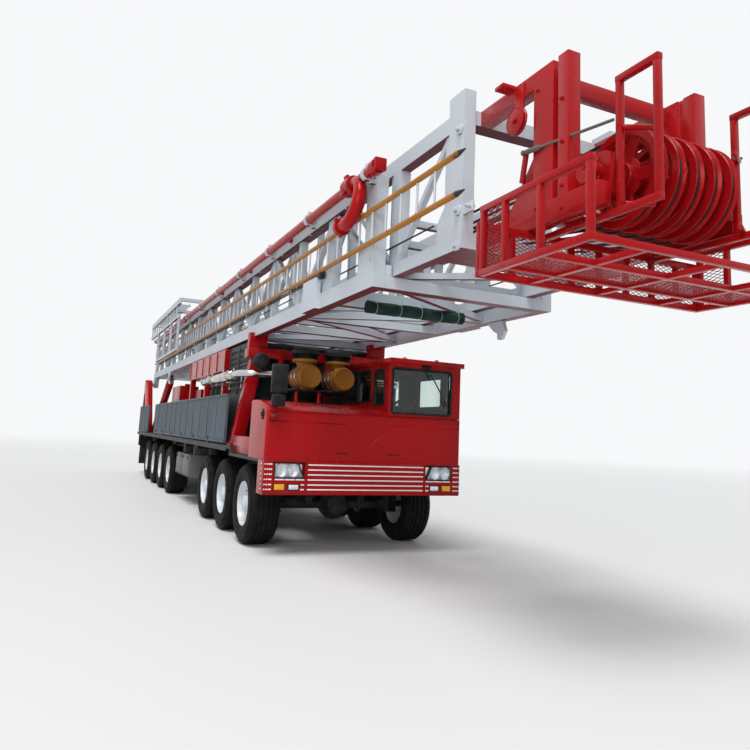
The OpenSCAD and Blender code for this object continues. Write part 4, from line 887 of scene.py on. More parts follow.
# Door: the same red sheet, hung on two pins, with its own glass, a black rubber
# seal and a pull handle on a backing plate. The solid's pane, which is one with
# the sheet, is cut out to make room for the glass.
door_sheet = softened("cab_door", 0.006, 2)
window_x = front_axle + 0.32
window_z = 2.365
opening = bar(about(window_x, 0.381), (side - 0.07, side + 0.02), about(window_z, 0.236), 0)
with_other(door_sheet, opening, "DIFFERENCE")
finished(door_sheet, "door_sheet", "cab_door_body", "red_paint", red_enamel, "cab_door")
door_sheet.data.materials.append(lining)
for face in door_sheet.data.polygons:
    if face.center.y < side - 0.02:
        face.material_index = 1
door_seal = window_seal(about(window_x, 0.39), about(window_z, 0.245), side + 0.001, "y", 0.01, 0.03)
finished(door_seal, "door_seal", "cab_door_body", "cab_trim", trim_black)
door_pane = bar(about(window_x, 0.37), (side - 0.012, side - 0.006), about(window_z, 0.225), 0.002)
finished(door_pane, "door_glass", "cab_door_body", "cab_glazing", cab_glass)
handle = joined(
    bar((front_axle - 0.12, front_axle + 0.04), (side, side + 0.008), (1.95, 2.05), 0.004),
    rod((front_axle - 0.1, side + 0.03, 1.985), (front_axle + 0.02, side + 0.03, 1.985), 0.018, 14, 0.004),
    rod((front_axle - 0.09, side, 1.985), (front_axle - 0.09, side + 0.03, 1.985), 0.014, 12),
    rod((front_axle + 0.01, side, 1.985), (front_axle + 0.01, side + 0.03, 1.985), 0.014, 12),
)
finished(handle, "door_handle", "cab_door_body", "cab_trim", trim_black)

# One long wiper hangs from its spindle above the screen. Grab rails of bent bar
# stand beside the door and on the cab's rear corner, and two amber lamps are
# screwed to the roof.
def pipe(points, d, sides=8, cyclic=False):
    """A bent round bar through the points."""
    curve = bpy.data.curves.new("bent bar", "CURVE")
    curve.dimensions = "3D"
    curve.bevel_depth = d / 2
    curve.bevel_resolution = max(1, sides // 4)
    curve.use_fill_caps = True
    line = curve.splines.new("POLY")
    line.points.add(len(points) - 1)
    for spot, at in zip(line.points, points):
        spot.co = (*at, 1)
    line.use_cyclic_u = cyclic
    piece = bpy.data.objects.new("bent bar", curve)
    bpy.context.scene.collection.objects.link(piece)
    take(piece)
    bpy.ops.object.convert(target="MESH")
    return bpy.context.object


def sweep(corners, radius, steps=6):
    """The corner points with each corner rounded to about radius."""
    corners = [Vector(c) for c in corners]
    path = [corners[0]]
    for before, at, after in zip(corners, corners[1:], corners[2:]):
        a = at + (before - at).normalized() * min(radius, (before - at).length / 2.01)
        b = at + (after - at).normalized() * min(radius, (after - at).length / 2.01)
        for k in range(steps + 1):
            t = k / steps
            path.append(a * (1 - t) ** 2 + at * 2 * t * (1 - t) + b * t ** 2)
    path.append(corners[-1])
    return path


wiper = joined(
    rod((cab_front - 0.004, 0.9, 2.69), (cab_front + 0.04, 0.9, 2.69), 0.035, 16, 0.004),
    bar((cab_front + 0.022, cab_front + 0.036), (0.885, 0.915), (2.635, 2.705), 0.003),
    rod((cab_front + 0.03, 0.9, 2.67), (cab_front + 0.022, 1.14, 2.33), 0.016, 8),
    rod((cab_front + 0.02, 1.03, 2.5), (cab_front + 0.02, 1.27, 2.12), 0.02, 8),
    rod((cab_front + 0.016, 1.02, 2.52), (cab_front + 0.016, 1.28, 2.1), 0.007, 6),
    bar((cab_front - 0.002, cab_front + 0.03), (0.83, 0.97), (2.66, 2.71), 0.006),
)
finished(wiper, "screen_wiper", "carrier", "cab_trim", trim_black)
grabs = []
for x in (front_axle - 0.28, front_axle + 0.84):
    path = sweep([(x, side, 1.62), (x, side + 0.05, 1.62), (x, side + 0.05, 2.4), (x, side, 2.4)], 0.03)
    grabs.append(pipe(path, 0.026))
path = sweep([(cab_back + 0.06, cab_side, 2.2), (cab_back + 0.06, cab_side - 0.06, 2.2),
              (cab_back + 0.06, cab_side - 0.06, 2.6), (cab_back + 0.06, cab_side, 2.6)], 0.03)
grabs.append(pipe(path, 0.024))
finished(grabs, "cab_grab_rails", "carrier", "dark_paint", chassis_black, smooth=60)
roof_parts = []
for y in (0.62, 1.17):
    dome = lathe([(0.0, 0.055), (0.02, 0.052), (0.034, 0.038), (0.038, 0.02), (0.038, 0.0), (0, 0)], 20)
    put(dome, (front - 0.2, y, roof), 90, "X")
    roof_parts.append(dome)
finished(roof_parts, "roof_marker_lamps", "carrier", "cab_trim", amber_lens)

# Rear view mirrors on the right: a tall flat glass over a small wide angle one,
# each in a black moulded shell on a bent tube arm, and a round cover by the leg.
shells, glasses, arms = [], [], []
mirror_y = -1.4
for z0, z1, wide in ((2.15, 2.535, 0.11), (1.975, 2.135, 0.09)):
    shell = bar((front + 0.11, front + 0.19), (mirror_y - wide, mirror_y + wide), (z0, z1), 0)
    pick(shell, faces=lambda c, n: n.x > 0.9)
    bpy.ops.mesh.inset(thickness=0.02, depth=0.012)
    bpy.ops.mesh.inset(thickness=0.025, depth=0.006)
    done()
    eased(shell, 0.022, 4, angle=25)
    put(shell, (-0.0125, 0, 0))
    shells.append(shell)
    glasses.append(bar((front + 0.095, front + 0.1), (mirror_y - wide + 0.014, mirror_y + wide - 0.014),
                       (z0 + 0.014, z1 - 0.014), 0.002))
    shells.append(bar((front + 0.096, front + 0.103), (mirror_y - wide + 0.006, mirror_y + wide - 0.006),
                      (z0 + 0.006, z1 - 0.006), 0.003))
arms.append(rod((front + 0.15, mirror_y, 2.12), (front + 0.15, mirror_y, 2.17), 0.036, 16))
low_arm = sweep(
    [(front - 0.08, mirror_y, 1.985), (front - 0.08, mirror_y, 2.085), (front + 0.125, mirror_y, 2.085)],
    0.05,
)
arms.append(pipe(low_arm, 0.028))
arms.append(bar((front - 0.12, front - 0.04), about(mirror_y, 0.04), (1.98, 1.994), 0.004))
cover = lathe(
    [(0, 0.045), (0.1, 0.04), (0.125, 0.025), (0.135, 0.0), (0.135, -0.03), (0.12, -0.036), (0, -0.036)], 40
)
put(cover, (front_axle - 0.485, -1.16, 2.74), -90, "Z")
shells.append(cover)
arms.append(rod((front_axle - 0.96, -1.16, 2.74), (front_axle - 0.515, -1.16, 2.74), 0.04, 14))
mirror_glass = new_finish("mirror glass", (0.85, 0.87, 0.88), 0.03, metal=1.0)
set_rough(mirror_glass, ramp(mirror_glass, cloud(mirror_glass, 6, 4), 0.3, 0.7, 0.01, 0.06))
finished(shells, "mirror_shells", "carrier", "dark_paint", trim_black, "mirrors", smooth=45)
finished(glasses, "mirror_glasses", "carrier", "rod_chrome", mirror_glass)
finished(arms, "mirror_arms", "carrier", "dark_paint", chassis_black)

# The walking deck: rolled chequer plate on angle edges, painted dark grey and
# worn bright along its edges.
deck_plate = enamel("deck plate", (0.04, 0.042, 0.045), 0.5, dust=0.6, wear=(0.2, 0.19, 0.18))
tree = deck_plate.node_tree
bars = []
for turn in (45, -45):
    spin = tree.nodes.new("ShaderNodeMapping")
    spin.inputs["Rotation"].default_value = (0, 0, math.radians(turn))
    spin.inputs["Scale"].default_value = (28, 28, 0)
    tree.links.new(place_of(deck_plate).outputs["Object"], spin.inputs["Vector"])
    cell = tree.nodes.new("ShaderNodeTexVoronoi")
    cell.voronoi_dimensions = "2D"
    cell.inputs["Randomness"].default_value = 0
    cell.inputs["Scale"].default_value = 1
    squash = tree.nodes.new("ShaderNodeMapping")
    squash.inputs["Scale"].default_value = (1, 0.45, 1)
    tree.links.new(spin.outputs["Vector"], squash.inputs["Vector"])
    tree.links.new(squash.outputs["Vector"], cell.inputs["Vector"])
    bars.append(ramp(deck_plate, cell.outputs["Distance"], 0.12, 0.22, 1, 0))
lozenge = sum_of(deck_plate, "MAXIMUM", bars[0], bars[1])
set_bumps(deck_plate, (cloud(deck_plate, 1.7, 2), 0.006), (lozenge, 0.003), soft_edge=0.004)
dress(deck_plate, "deck")
deck_low, deck_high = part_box("deck")
deck_top = deck_high[2]

# Under the deck edge: a tool box with two doors on the right and the fuel tank
# on the left, both in satin grey, hung from straps.
box_grey = enamel("box grey", (0.15, 0.14, 0.14), 0.42, dust=0.35, wear=(0.3, 0.3, 0.3))
box_body = softened("side_boxes", 0.006, 2)
finished(box_body, "side_box_body", "carrier", "grey_paint", box_grey, "side_boxes")
latches = []
for k in (0, 1):
    x = front_axle - 6.45 + 0.025 + k * 0.84
    for at in (x + 0.12, x + 0.67):
        latches.append(bar(about(at, 0.02), (-side + 0.06, -side + 0.076), (0.96, 1.02), 0.003))
        latches.append(rod((at, -side + 0.062, 0.975), (at, -side + 0.05, 0.975), 0.016, 10, 0.002))
    latches.append(rod((x + 0.02, -side + 0.07, 0.6), (x + 0.77, -side + 0.07, 0.6), 0.016, 10))
for x in (-6.1, -5.55, -5.0):
    band = lathe([(0.262, -0.03), (0.266, -0.03), (0.266, 0.03), (0.262, 0.03), (0.262, -0.03)], 48)
    put(band, (front_axle + x, side - 0.4, 0.8), 90, "Z")
    latches.append(band)
cap = lathe([(0, 0.05), (0.05, 0.05), (0.062, 0.04), (0.062, 0.012), (0.05, 0), (0, 0)], 24)
put(cap, (front_axle - 4.95, side - 0.25, 1.012), 60, "X")
latches.append(cap)
finished(latches, "side_box_fittings", "carrier", "dark_paint", chassis_black)

# Folding side platforms stood up as fences: pressed grey sheets with upright
# ribs in angle frames, hinged along the deck's edge.
panel_grey = enamel(
    "panel grey", (0.09, 0.118, 0.142), 0.48, dust=0.22, wear=(0.05, 0.06, 0.065), drift=0.14
)
panel_bottom, panel_top = deck_top + 0.0265, deck_top + 0.8445
frame_bottom = panel_bottom + 0.006
for name, sign in (("right", -1), ("left", 1)):
    ribs = []
    for start, end, bays in ((-10.5, -1.23, 12), (-14.49, -12.08, 3)):
        pitch = (end - start - 0.04) / bays
        sheet = bar(
            (front_axle + start, front_axle + end), on_side(sign, 1.462, 1.494), (panel_bottom, panel_top),
            0,
        )
        ribs.append(eased(sheet, 0.003))
        for bay in range(bays):
            left = front_axle + start + bay * pitch + 0.05
            folds = 5
            step = (pitch - 0.06) / folds
            for k in range(folds):
                rib = bar(
                    (left + k * step + 0.012, left + (k + 1) * step - 0.012), on_side(sign, 1.492, 1.5),
                    (panel_bottom + 0.05, panel_top - 0.05), 0,
                )
                pick(rib, faces=lambda c, n: n.y * sign > 0.9)
                bpy.ops.mesh.inset(thickness=0.012, depth=-0.003)
                done()
                ribs.append(rib)
        for bay in range(bays + 1):
            x = front_axle + start + bay * pitch
            ribs.append(bar((x, x + 0.04), on_side(sign, 1.49, 1.51), (frame_bottom, panel_top), 0.003))
        for z in (frame_bottom, panel_top - 0.035):
            ribs.append(bar(
                (front_axle + start, front_axle + end), on_side(sign, 1.49, 1.508), (z, z + 0.035), 0.003
            ))
    finished(ribs, f"platform_{name}_sheets", f"side_platform_{name}", "grey_blue_paint", panel_grey)
    straps = []
    for start, end in ((-10.5, -1.23), (-14.49, -12.08)):
        x = start + 0.3
        while x < end - 0.2:
            straps.append(rod(
                (front_axle + x, sign * 1.486, deck_top + 0.0143),
                (front_axle + x + 0.16, sign * 1.486, deck_top + 0.0143), 0.028, 16, 0.002,
            ))
            leaf = (front_axle + x + 0.02, front_axle + x + 0.14)
            straps.append(bar(
                leaf, on_side(sign, 1.492, 1.4985), (deck_top + 0.012, deck_top + 0.045), 0.001
            ))
            straps.append(bar(leaf, on_side(sign, 1.494, 1.511), (frame_bottom, deck_top + 0.12), 0.002))
            x += 1.5
    finished(
        straps, f"platform_{name}_hinges", f"side_platform_{name}", "dark_paint", chassis_black,
        f"platform_{name}",
    )

# The portal that carries the front of the mast: welded box legs leaning inward
# from base beams on the deck, a cross beam and a fork for each mast chord.
portal = softened("front_support", 0.008, 2)
finished(portal, "front_portal", "carrier", "red_paint", red_enamel, "front_support")
portal.data.materials.append(chassis_black)
for face in portal.data.polygons:
    if 2.27 < face.center.z < 2.32 and face.center.x > front_axle - 0.87:
        face.material_index = 1
leg_plates = []
for sign in (-1, 1):
    foot = bar(
        (front_axle - 1.2, front_axle - 0.92), on_side(sign, 1.22, 1.46),
        (deck_top + 0.001, deck_top + 0.022), 0.004,
    )
    leg_plates.append(foot)
    for x in (-1.17, -0.95):
        for y in (1.232, 1.452):
            leg_plates.append(rod(
                (front_axle + x, sign * y, deck_top + 0.02), (front_axle + x, sign * y, deck_top + 0.04),
                0.03, 6, 0.003,
            ))
finished(leg_plates, "portal_foot_plates", "carrier", "red_paint", red_enamel)

# Power units behind the portal: two engines with their gearboxes, and a
# radiator stack with slatted cores, fan guards and header tanks.
engine_black = enamel("engine grey", (0.035, 0.037, 0.04), 0.45, dust=0.5, wear=(0.12, 0.12, 0.12))
dress(engine_black, "engines")
slats = []
for y0, y1 in ((-1.12, -0.03), (0.03, 1.12)):
    for k in range(38):
        z = 1.52 + k * 0.042
        slat = bar((front_axle - 1.302, front_axle - 1.286), (y0 + 0.03, y1 - 0.03), (z, z + 0.006), 0)
        slats.append(slat)
    for z in (1.48, 3.1):
        slats.append(bar((front_axle - 1.302, front_axle - 1.27), (y0, y1), (z, z + 0.03), 0.003))
    for y in (y0, (y0 + y1) / 2, y1 - 0.03):
        slats.append(bar((front_axle - 1.302, front_axle - 1.272), (y, y + 0.03), (1.48, 3.13), 0.003))
finished(slats, "radiator_slats", "carrier", "dark_paint", engine_black)
fittings = []
for sign in (-1, 1):
    for k in range(14):
        z = 2.3 + k * 0.058
        fittings.append(bar(
            (front_axle - 2.68, front_axle - 1.38), on_side(sign, 1.146, 1.158), (z, z + 0.008), 0
        ))
    for x in (-2.74, -2.04, -1.34):
        fittings.append(bar(about(front_axle + x, 0.02), on_side(sign, 1.146, 1.166), (2.25, 3.13), 0.003))
    for k in range(6):
        x = front_axle - 5.2 + k * 0.42
        fittings.append(bar((x, x + 0.3), on_side(sign, 0.25, 0.95), (2.6, 2.68), 0.02, 3))
    fittings.append(rod(
        (front_axle - 5.3, sign * 0.6, 2.66), (front_axle - 3.0, sign * 0.6, 2.66), 0.11, 20, 0.01
    ))
    for k in range(6):
        x = front_axle - 5.15 + k * 0.42
        fittings.append(pipe(
            sweep(
                [
                    (x + 0.1, sign * 0.98, 2.5), (x + 0.1, sign * 1.06, 2.5), (x + 0.1, sign * 1.06, 2.3),
                    (x + 0.1, sign * 1.0, 2.3),
                ],
                0.04,
            ),
            0.05,
        ))
finished(fittings, "engine_fittings", "carrier", "dark_paint", engine_black)

# Two gold intake air cleaners: rolled canisters with band clamps and a dished
# service cover, fed by black rain caps on a neck.
cleaner_gold = enamel(
    "cleaner gold", (0.3, 0.118, 0.016), 0.36, dust=0.16, coat=0.05, wear=(0.12, 0.07, 0.03), drift=0.14
)
cleaner_z, cleaner_r = 2.5, 0.185
cans, caps, bands = [], [], []
for y in (-0.545, 0.015):
    can = lathe(
        [
            (0, -0.43), (0.14, -0.428), (0.172, -0.415), (cleaner_r, -0.395), (cleaner_r, -0.36),
            (cleaner_r + 0.006, -0.355), (cleaner_r + 0.006, -0.315), (cleaner_r, -0.31),
            (cleaner_r, -0.03), (cleaner_r + 0.006, -0.025), (cleaner_r + 0.006, 0.015), (cleaner_r, 0.02),
            (cleaner_r, 0.05), (0.17, 0.058), (0.17, 0.1), (0.184, 0.106), (0.188, 0.118), (0.186, 0.15),
            (0.176, 0.172), (0.172, 0.19), (0.165, 0.198), (0.158, 0.194), (0, 0.194),
        ],
        64,
    )
    put(can, (front_axle, y, cleaner_z), -90, "Z")
    upright = Matrix.Translation((front_axle - 0.15, y, cleaner_z)) @ Matrix.Rotation(math.pi / 2, 4, "X")
    neck = lathe(
        [
            (0.125, 0), (0.125, 0.2), (0.15, 0.235), (0.196, 0.24), (0.202, 0.25), (0.202, 0.28),
            (0.196, 0.29), (0, 0.292),
        ],
        48,
    )
    neck.data.transform(upright)
    cans += [can, neck]
    for x in (-0.33, 0.0):
        cans.append(bar((front_axle + x, front_axle + x + 0.06), about(y, 0.11), (2.312, 2.38), 0.006))
        cans.append(bar((front_axle + x + 0.02, front_axle + x + 0.04), about(y, 0.09), (2.34, 2.5), 0.003))
    for turn in range(4):
        a = math.radians(90 * turn + 45)
        cans.append(rod(
            (front_axle + 0.02, y + 0.192 * math.cos(a), cleaner_z + 0.192 * math.sin(a)),
            (front_axle + 0.13, y + 0.192 * math.cos(a), cleaner_z + 0.192 * math.sin(a)), 0.014, 10, 0.002,
        ))
    for x in (-0.335, -0.16, -0.005):
        band = lathe(
            [
                (cleaner_r, -0.012), (cleaner_r + 0.009, -0.012), (cleaner_r + 0.009, 0.012),
                (cleaner_r, 0.012), (cleaner_r, -0.012),
            ],
            56,
        )
        put(band, (front_axle + x, y, cleaner_z), 90, "Z")
        bands.append(band)
        bands.append(bar(
            about(front_axle + x, 0.014), (y - cleaner_r - 0.03, y - cleaner_r + 0.002),
            about(cleaner_z, 0.025), 0.004,
        ))
        bands.append(rod(
            (front_axle + x, y - cleaner_r - 0.02, cleaner_z - 0.04),
            (front_axle + x, y - cleaner_r - 0.02, cleaner_z + 0.04), 0.008, 8,
        ))
    hood_cap = lathe(
        [
            (0, 0.485), (0.12, 0.481), (0.175, 0.468), (0.198, 0.448), (0.202, 0.43), (0.226, 0.424),
            (0.23, 0.41), (0.229, 0.37), (0.214, 0.362), (0.172, 0.36), (0.168, 0.294), (0, 0.292),
        ],
        56,
    )
    hood_cap.data.transform(upright)
    caps.append(hood_cap)
    fins = 32
    for k in range(fins):
        fin = bar((0.165, 0.2), (-0.002, 0.002), (0.294, 0.362), 0)
        caps.append(put(fin, (front_axle - 0.15, y, cleaner_z), 360 / fins * k, "Z"))
    caps.append(pipe(
        sweep(
            [
                (front_axle - 0.42, y, cleaner_z), (front_axle - 0.8, y, cleaner_z),
                (front_axle - 1.28, y, cleaner_z - 0.25),
            ],
            0.2,
        ),
        0.18, 16,
    ))
finished(cans, "air_cleaner_cans", "carrier", "gold_paint", cleaner_gold, "air_cleaners", smooth=40)
finished(caps, "air_cleaner_caps", "carrier", "dark_paint", trim_black, smooth=40)
band_steel = new_finish("band steel", (0.5, 0.48, 0.44), 0.3, metal=1.0)
set_rough(band_steel, ramp(band_steel, cloud(band_steel, 40, 4), 0.3, 0.7, 0.22, 0.42))
set_colour(band_steel, mixed(band_steel, cloud(band_steel, 12, 5), (0.42, 0.4, 0.36), (0.6, 0.58, 0.54)))
finished(bands, "air_cleaner_bands", "carrier", "bare_steel", band_steel)

# Exhausts along both deck edges: polished stainless pipe with a long silencer
# sleeve, clamped joints and a swept bend in towards the engines.
exhaust_steel = new_finish("polished exhaust", (0.66, 0.65, 0.63), 0.14, metal=1.0)
heat = ramp(exhaust_steel, cloud(exhaust_steel, 2.5, 4), 0.45, 0.7, 0, 0.6)
set_colour(exhaust_steel, mixed(exhaust_steel, heat, (0.56, 0.56, 0.57), (0.33, 0.29, 0.24)))
set_rough(
    exhaust_steel, ramp(exhaust_steel, cloud(exhaust_steel, 25, 4, (0.1, 1, 1)), 0.3, 0.7, 0.08, 0.24)
)
set_bumps(exhaust_steel, (cloud(exhaust_steel, 120, 2, (0.05, 1, 1)), 0.0003))
pipes, clamps = [], []
for sign in (-1, 1):
    run = sweep(
        [
            (front_axle - 3.7, sign * 1.44, 2.54), (front_axle - 0.55, sign * 1.44, 2.54),
            (front_axle - 0.55, sign * 0.7, 2.54),
        ],
        0.3, 12,
    )
    pipes.append(pipe(run, 0.116, 24))
    sleeve = lathe(
        [(0.058, -0.83), (0.075, -0.82), (0.086, -0.8), (0.086, 0.8), (0.075, 0.82), (0.058, 0.83)], 40
    )
    put(sleeve, (front_axle - 2.42, sign * 1.425, 2.54), -90, "Z")
    pipes.append(sleeve)
    tip = lathe(
        [(0.058, -0.03), (0.075, -0.03), (0.076, 0.03), (0.062, 0.034), (0.052, 0.03), (0.05, -0.05)], 32
    )
    put(tip, (front_axle - 3.68, sign * 1.44, 2.54), 90, "Z")
    pipes.append(tip)
    for k in range(9):
        ring = lathe([(0.056, -0.009), (0.068, 0), (0.056, 0.009)], 32)
        put(ring, (front_axle - 1.35 + 0.02 * k, sign * 1.44, 2.54), 90, "Z")
        pipes.append(ring)
    for x, radius in ((-3.3, 0.064), (-1.56, 0.064), (-1.12, 0.064), (-2.9, 0.09), (-1.95, 0.09)):
        clamp = lathe(
            [
                (radius - 0.01, -0.018), (radius + 0.004, -0.018), (radius + 0.004, 0.018),
                (radius - 0.01, 0.018), (radius - 0.01, -0.018),
            ],
            36,
        )
        put(clamp, (front_axle + x, sign * (1.425 if radius > 0.08 else 1.44), 2.54), 90, "Z")
        clamps.append(clamp)
        clamps.append(bar(
            about(front_axle + x, 0.016), on_side(sign, 1.42, 1.46), (2.54 + radius, 2.54 + radius + 0.035),
            0.004,
        ))
    for x in (-2.65, -1.75):
        clamps.append(bar(about(front_axle + x, 0.025), on_side(sign, 1.1505, 1.42), (2.43, 2.455), 0.003))
        clamps.append(bar(about(front_axle + x, 0.025), on_side(sign, 1.1505, 1.165), (2.36, 2.56), 0.003))
finished(pipes, "exhaust_pipes", "carrier", "bare_steel", exhaust_steel, "exhausts", smooth=45)
finished(clamps, "exhaust_clamps", "carrier", "bare_steel", band_steel)

# Red hoods and hydraulic tanks behind the engines: folded sheet with stiffening
# ribs, lift-off covers and filler caps.
hoods = softened("machine_housing", 0.012, 3)
finished(hoods, "machine_hoods", "carrier", "red_paint", red_enamel, "machine_housing")
extras = []
for k in range(5):
    x = front_axle - 6.3 + 0.76 * k
    extras.append(bar((x + 0.06, x + 0.58), (-0.9, -0.2), (3.16, 3.175), 0.006))
    extras.append(bar((x + 0.06, x + 0.58), (0.2, 0.9), (3.16, 3.175), 0.006))
    for sign in (-1, 1):
        extras.append(pipe(
            sweep(
                [
                    (x + 0.24, sign * 0.5, 3.174), (x + 0.24, sign * 0.5, 3.21),
                    (x + 0.4, sign * 0.5, 3.21), (x + 0.4, sign * 0.5, 3.174),
                ],
                0.015,
            ),
            0.012,
        ))
for k in range(7):
    x = front_axle - 9.75 + 0.45 * k
    for sign in (-1, 1):
        extras.append(bar((x, x + 0.03), on_side(sign, 1.178, 1.19), (1.5, 2.26), 0.003))
for x, y in ((-9.2, 0.95), (-8.7, -0.95)):
    filler = lathe(
        [(0, 0.07), (0.06, 0.07), (0.07, 0.06), (0.07, 0.02), (0.055, 0.015), (0.055, 0), (0, 0)], 28
    )
    put(filler, (front_axle + x, y, 2.7), 90, "X")
    extras.append(filler)
finished(extras, "machine_hood_covers", "carrier", "red_paint", red_enamel)

# Drawworks: flame cut side plates, and a grooved drum wound with wire line
# between its flanges and brake rims.
side_plates = softened("drawworks_frame", 0.006, 2)
finished(side_plates, "drawworks_sides", "carrier", "red_paint", red_enamel, "drawworks_frame")
drum_low, drum_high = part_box("drawworks_drum")
drum_x, drum_z = (drum_low[0] + drum_high[0]) / 2, (drum_low[2] + drum_high[2]) / 2
flanges = lathe(
    [
        (0, -0.78), (0.075, -0.78), (0.08, -0.775), (0.08, -0.662), (0.42, -0.662), (0.43, -0.655),
        (0.44, -0.66), (0.486, -0.66), (0.49, -0.655), (0.49, -0.58), (0.545, -0.578), (0.55, -0.572),
        (0.55, -0.545), (0.545, -0.54), (0.3, -0.54), (0.3, 0.54), (0.545, 0.54), (0.55, 0.545),
        (0.55, 0.572), (0.545, 0.578), (0.49, 0.58), (0.49, 0.655), (0.486, 0.66), (0.44, 0.66),
        (0.43, 0.655), (0.42, 0.662), (0.08, 0.662), (0.08, 0.775), (0.075, 0.78), (0, 0.78),
    ],
    72,
)
put(flanges, (drum_x, 0, drum_z))
cast_steel = new_finish("drum steel", (0.3, 0.29, 0.28), 0.4, metal=1.0)
set_colour(
    cast_steel,
    mixed(
        cast_steel, ramp(cast_steel, cloud(cast_steel, 6, 7), 0.4, 0.7, 0, 1), (0.34, 0.33, 0.32),
        (0.14, 0.1, 0.08),
    ),
)
set_rough(cast_steel, ramp(cast_steel, cloud(cast_steel, 20, 5), 0.3, 0.7, 0.3, 0.55))
set_bumps(cast_steel, (cloud(cast_steel, 60, 4), 0.001), soft_edge=0.003)
finished(flanges, "drum_body", "drum", "bare_steel", cast_steel, "drawworks_drum")
line_d, flange_y = 0.03, 0.54
winds = int(2 * flange_y / line_d)
wound_line = [
    (0.31 + 0.0155 * (1 - math.cos(2 * math.pi * k / 8)), -flange_y + line_d * k / 8)
    for k in range(8 * winds + 1)
]
layer = put(lathe(wound_line, 64), (drum_x, 0, drum_z))
wire_line = new_finish("wire line", (0.06, 0.055, 0.05), 0.45, metal=0.7)
strand = wire_line.node_tree.nodes.new("ShaderNodeTexWave")
strand.inputs["Scale"].default_value = 40
strand.inputs["Distortion"].default_value = 0.6
wire_line.node_tree.links.new(place_of(wire_line).outputs["Object"], strand.inputs["Vector"])
set_colour(wire_line, mixed(wire_line, strand.outputs["Fac"], (0.03, 0.027, 0.024), (0.13, 0.12, 0.11)))
set_bumps(wire_line, (strand.outputs["Fac"], 0.003))
finished(layer, "drum_line", "drum", "bare_steel", wire_line, smooth=60)

# The rear frame: welded plate sides on the deck's tail, which carry the mast's
# pivot pins in bolted bosses and the feet of the raising cylinders.
rear_frame = softened("mast_base", 0.008, 2)
finished(rear_frame, "rear_frame", "carrier", "red_paint", red_enamel, "mast_base")
pivot_x, pivot_z = front_axle - 14.3, 2.99
keepers = []
for sign in (-1, 1):
    boss = lathe(
        [
            (0.062, -0.02), (0.13, -0.02), (0.14, -0.012), (0.14, 0.012), (0.13, 0.02), (0.062, 0.02),
            (0.062, -0.02),
        ],
        40,
    )
    put(boss, (pivot_x, sign * 1.415, pivot_z))
    keepers.append(boss)
    for k in range(8):
        a = math.radians(45 * k + 20)
        keepers.append(rod(
            (pivot_x + 0.11 * math.cos(a), sign * 1.43, pivot_z + 0.11 * math.sin(a)),
            (pivot_x + 0.11 * math.cos(a), sign * 1.45, pivot_z + 0.11 * math.sin(a)), 0.024, 6, 0.002,
        ))
    keepers.append(bar(
        (pivot_x - 0.5, pivot_x + 1.3), on_side(sign, 1.2, 1.47), (deck_top + 0.001, deck_top + 0.02), 0.004
    ))
finished(keepers, "rear_frame_bosses", "carrier", "red_paint", red_enamel)

# The two raising cylinders: machined and red painted barrels with a gland ring
# and hose ports, and chromed rods with a forged eye.
barrels = softened("raising_barrels", 0.006, 2)
finished(barrels, "raising_cylinder_barrels", "lift_barrels", "red_paint", red_enamel, "raising_barrels")

# The mast's two nested sections: lattices welded from box and angle steel under
# white enamel. Their faces that look down get a dark red: painted bounce light from a red floor.
def painted_floor_bounce(finish, colour):
    """Painted bounce light: a dark red on the faces that look straight down when the mast lies."""
    above = finish.node_tree.nodes["Principled BSDF"].inputs["Base Color"].links[0].from_socket
    down = ramp(finish, part_of(finish, "Normal", 2), -0.9, -0.97, 0, 1)
    set_colour(finish, mixed(finish, down, above, colour))


mast_white = enamel("mast white", (0.56, 0.61, 0.66), 0.34, dust=0.14, drift=0.05, wear=(0.34, 0.32, 0.3),
                    dust_colour=(0.42, 0.4, 0.38))
# The dark red on the downward faces is painted bounce light from a red floor.
painted_floor_bounce(mast_white, (0.14, 0.035, 0.04))
dress(mast_white, "lower_right", "lower_left", "lower_back", "upper_right", "upper_left", "upper_back")
mast_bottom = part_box("lower_back")[0][2]
lower_y, lower_top, lower_front = 1.17, 4.45, front_axle + 3.75
upper_z, upper_top, upper_front = 3.34, 4.67, front_axle + 5.1
pins = []
for sign in (-1, 1):
    for z in (upper_z + 0.03, upper_z + 0.36, upper_top - 0.2):
        pins.append(rod(
            (upper_front - 0.06, sign * 0.929, z), (upper_front - 0.06, sign * 0.95, z), 0.1, 24, 0.005
        ))
        pins.append(rod(
            (upper_front - 0.06, sign * 0.945, z), (upper_front - 0.06, sign * 0.985, z), 0.045, 16, 0.004
        ))
    pins.append(bar(
        (upper_front - 0.02, upper_front + 0.16), on_side(sign, 0.9, 0.92), (upper_z + 0.3, upper_z + 0.4),
        0.006,
    ))
    pins.append(rod(
        (upper_front + 0.12, sign * 0.88, upper_z + 0.35),
        (upper_front + 0.12, sign * 0.98, upper_z + 0.35), 0.035, 14, 0.004,
    ))
finished(pins, "section_pins", "upper_mast", "white_paint", mast_white)
guides = []
for sign in (-1, 1):
    for x in (3.67, -2.45, -8.0, -13.15):
        guides.append(bar(about(front_axle + x, 0.07), on_side(sign, 0.945, 1.029),
                          (upper_z - 0.06, upper_z + 0.12), 0.006))
    for x, z in ((3.66, 4.1), (3.66, 3.75), (3.66, 3.5)):
        guides.append(rod(
            (front_axle + x, sign * (lower_y + 0.001), z), (front_axle + x, sign * (lower_y + 0.015), z),
            0.036, 6, 0.003,
        ))
    for x in (-11.0, -8.0, -5.0, -2.0, 1.0):
        lug = shaped([(front_axle + x - 0.08, lower_top - 0.01), (front_axle + x + 0.08, lower_top - 0.01),
                      (front_axle + x + 0.05, lower_top + 0.09), (front_axle + x - 0.05, lower_top + 0.09)],
                     "y", *on_side(sign, 1.06, 1.085))
        guides.append(eased(lug, 0.004))
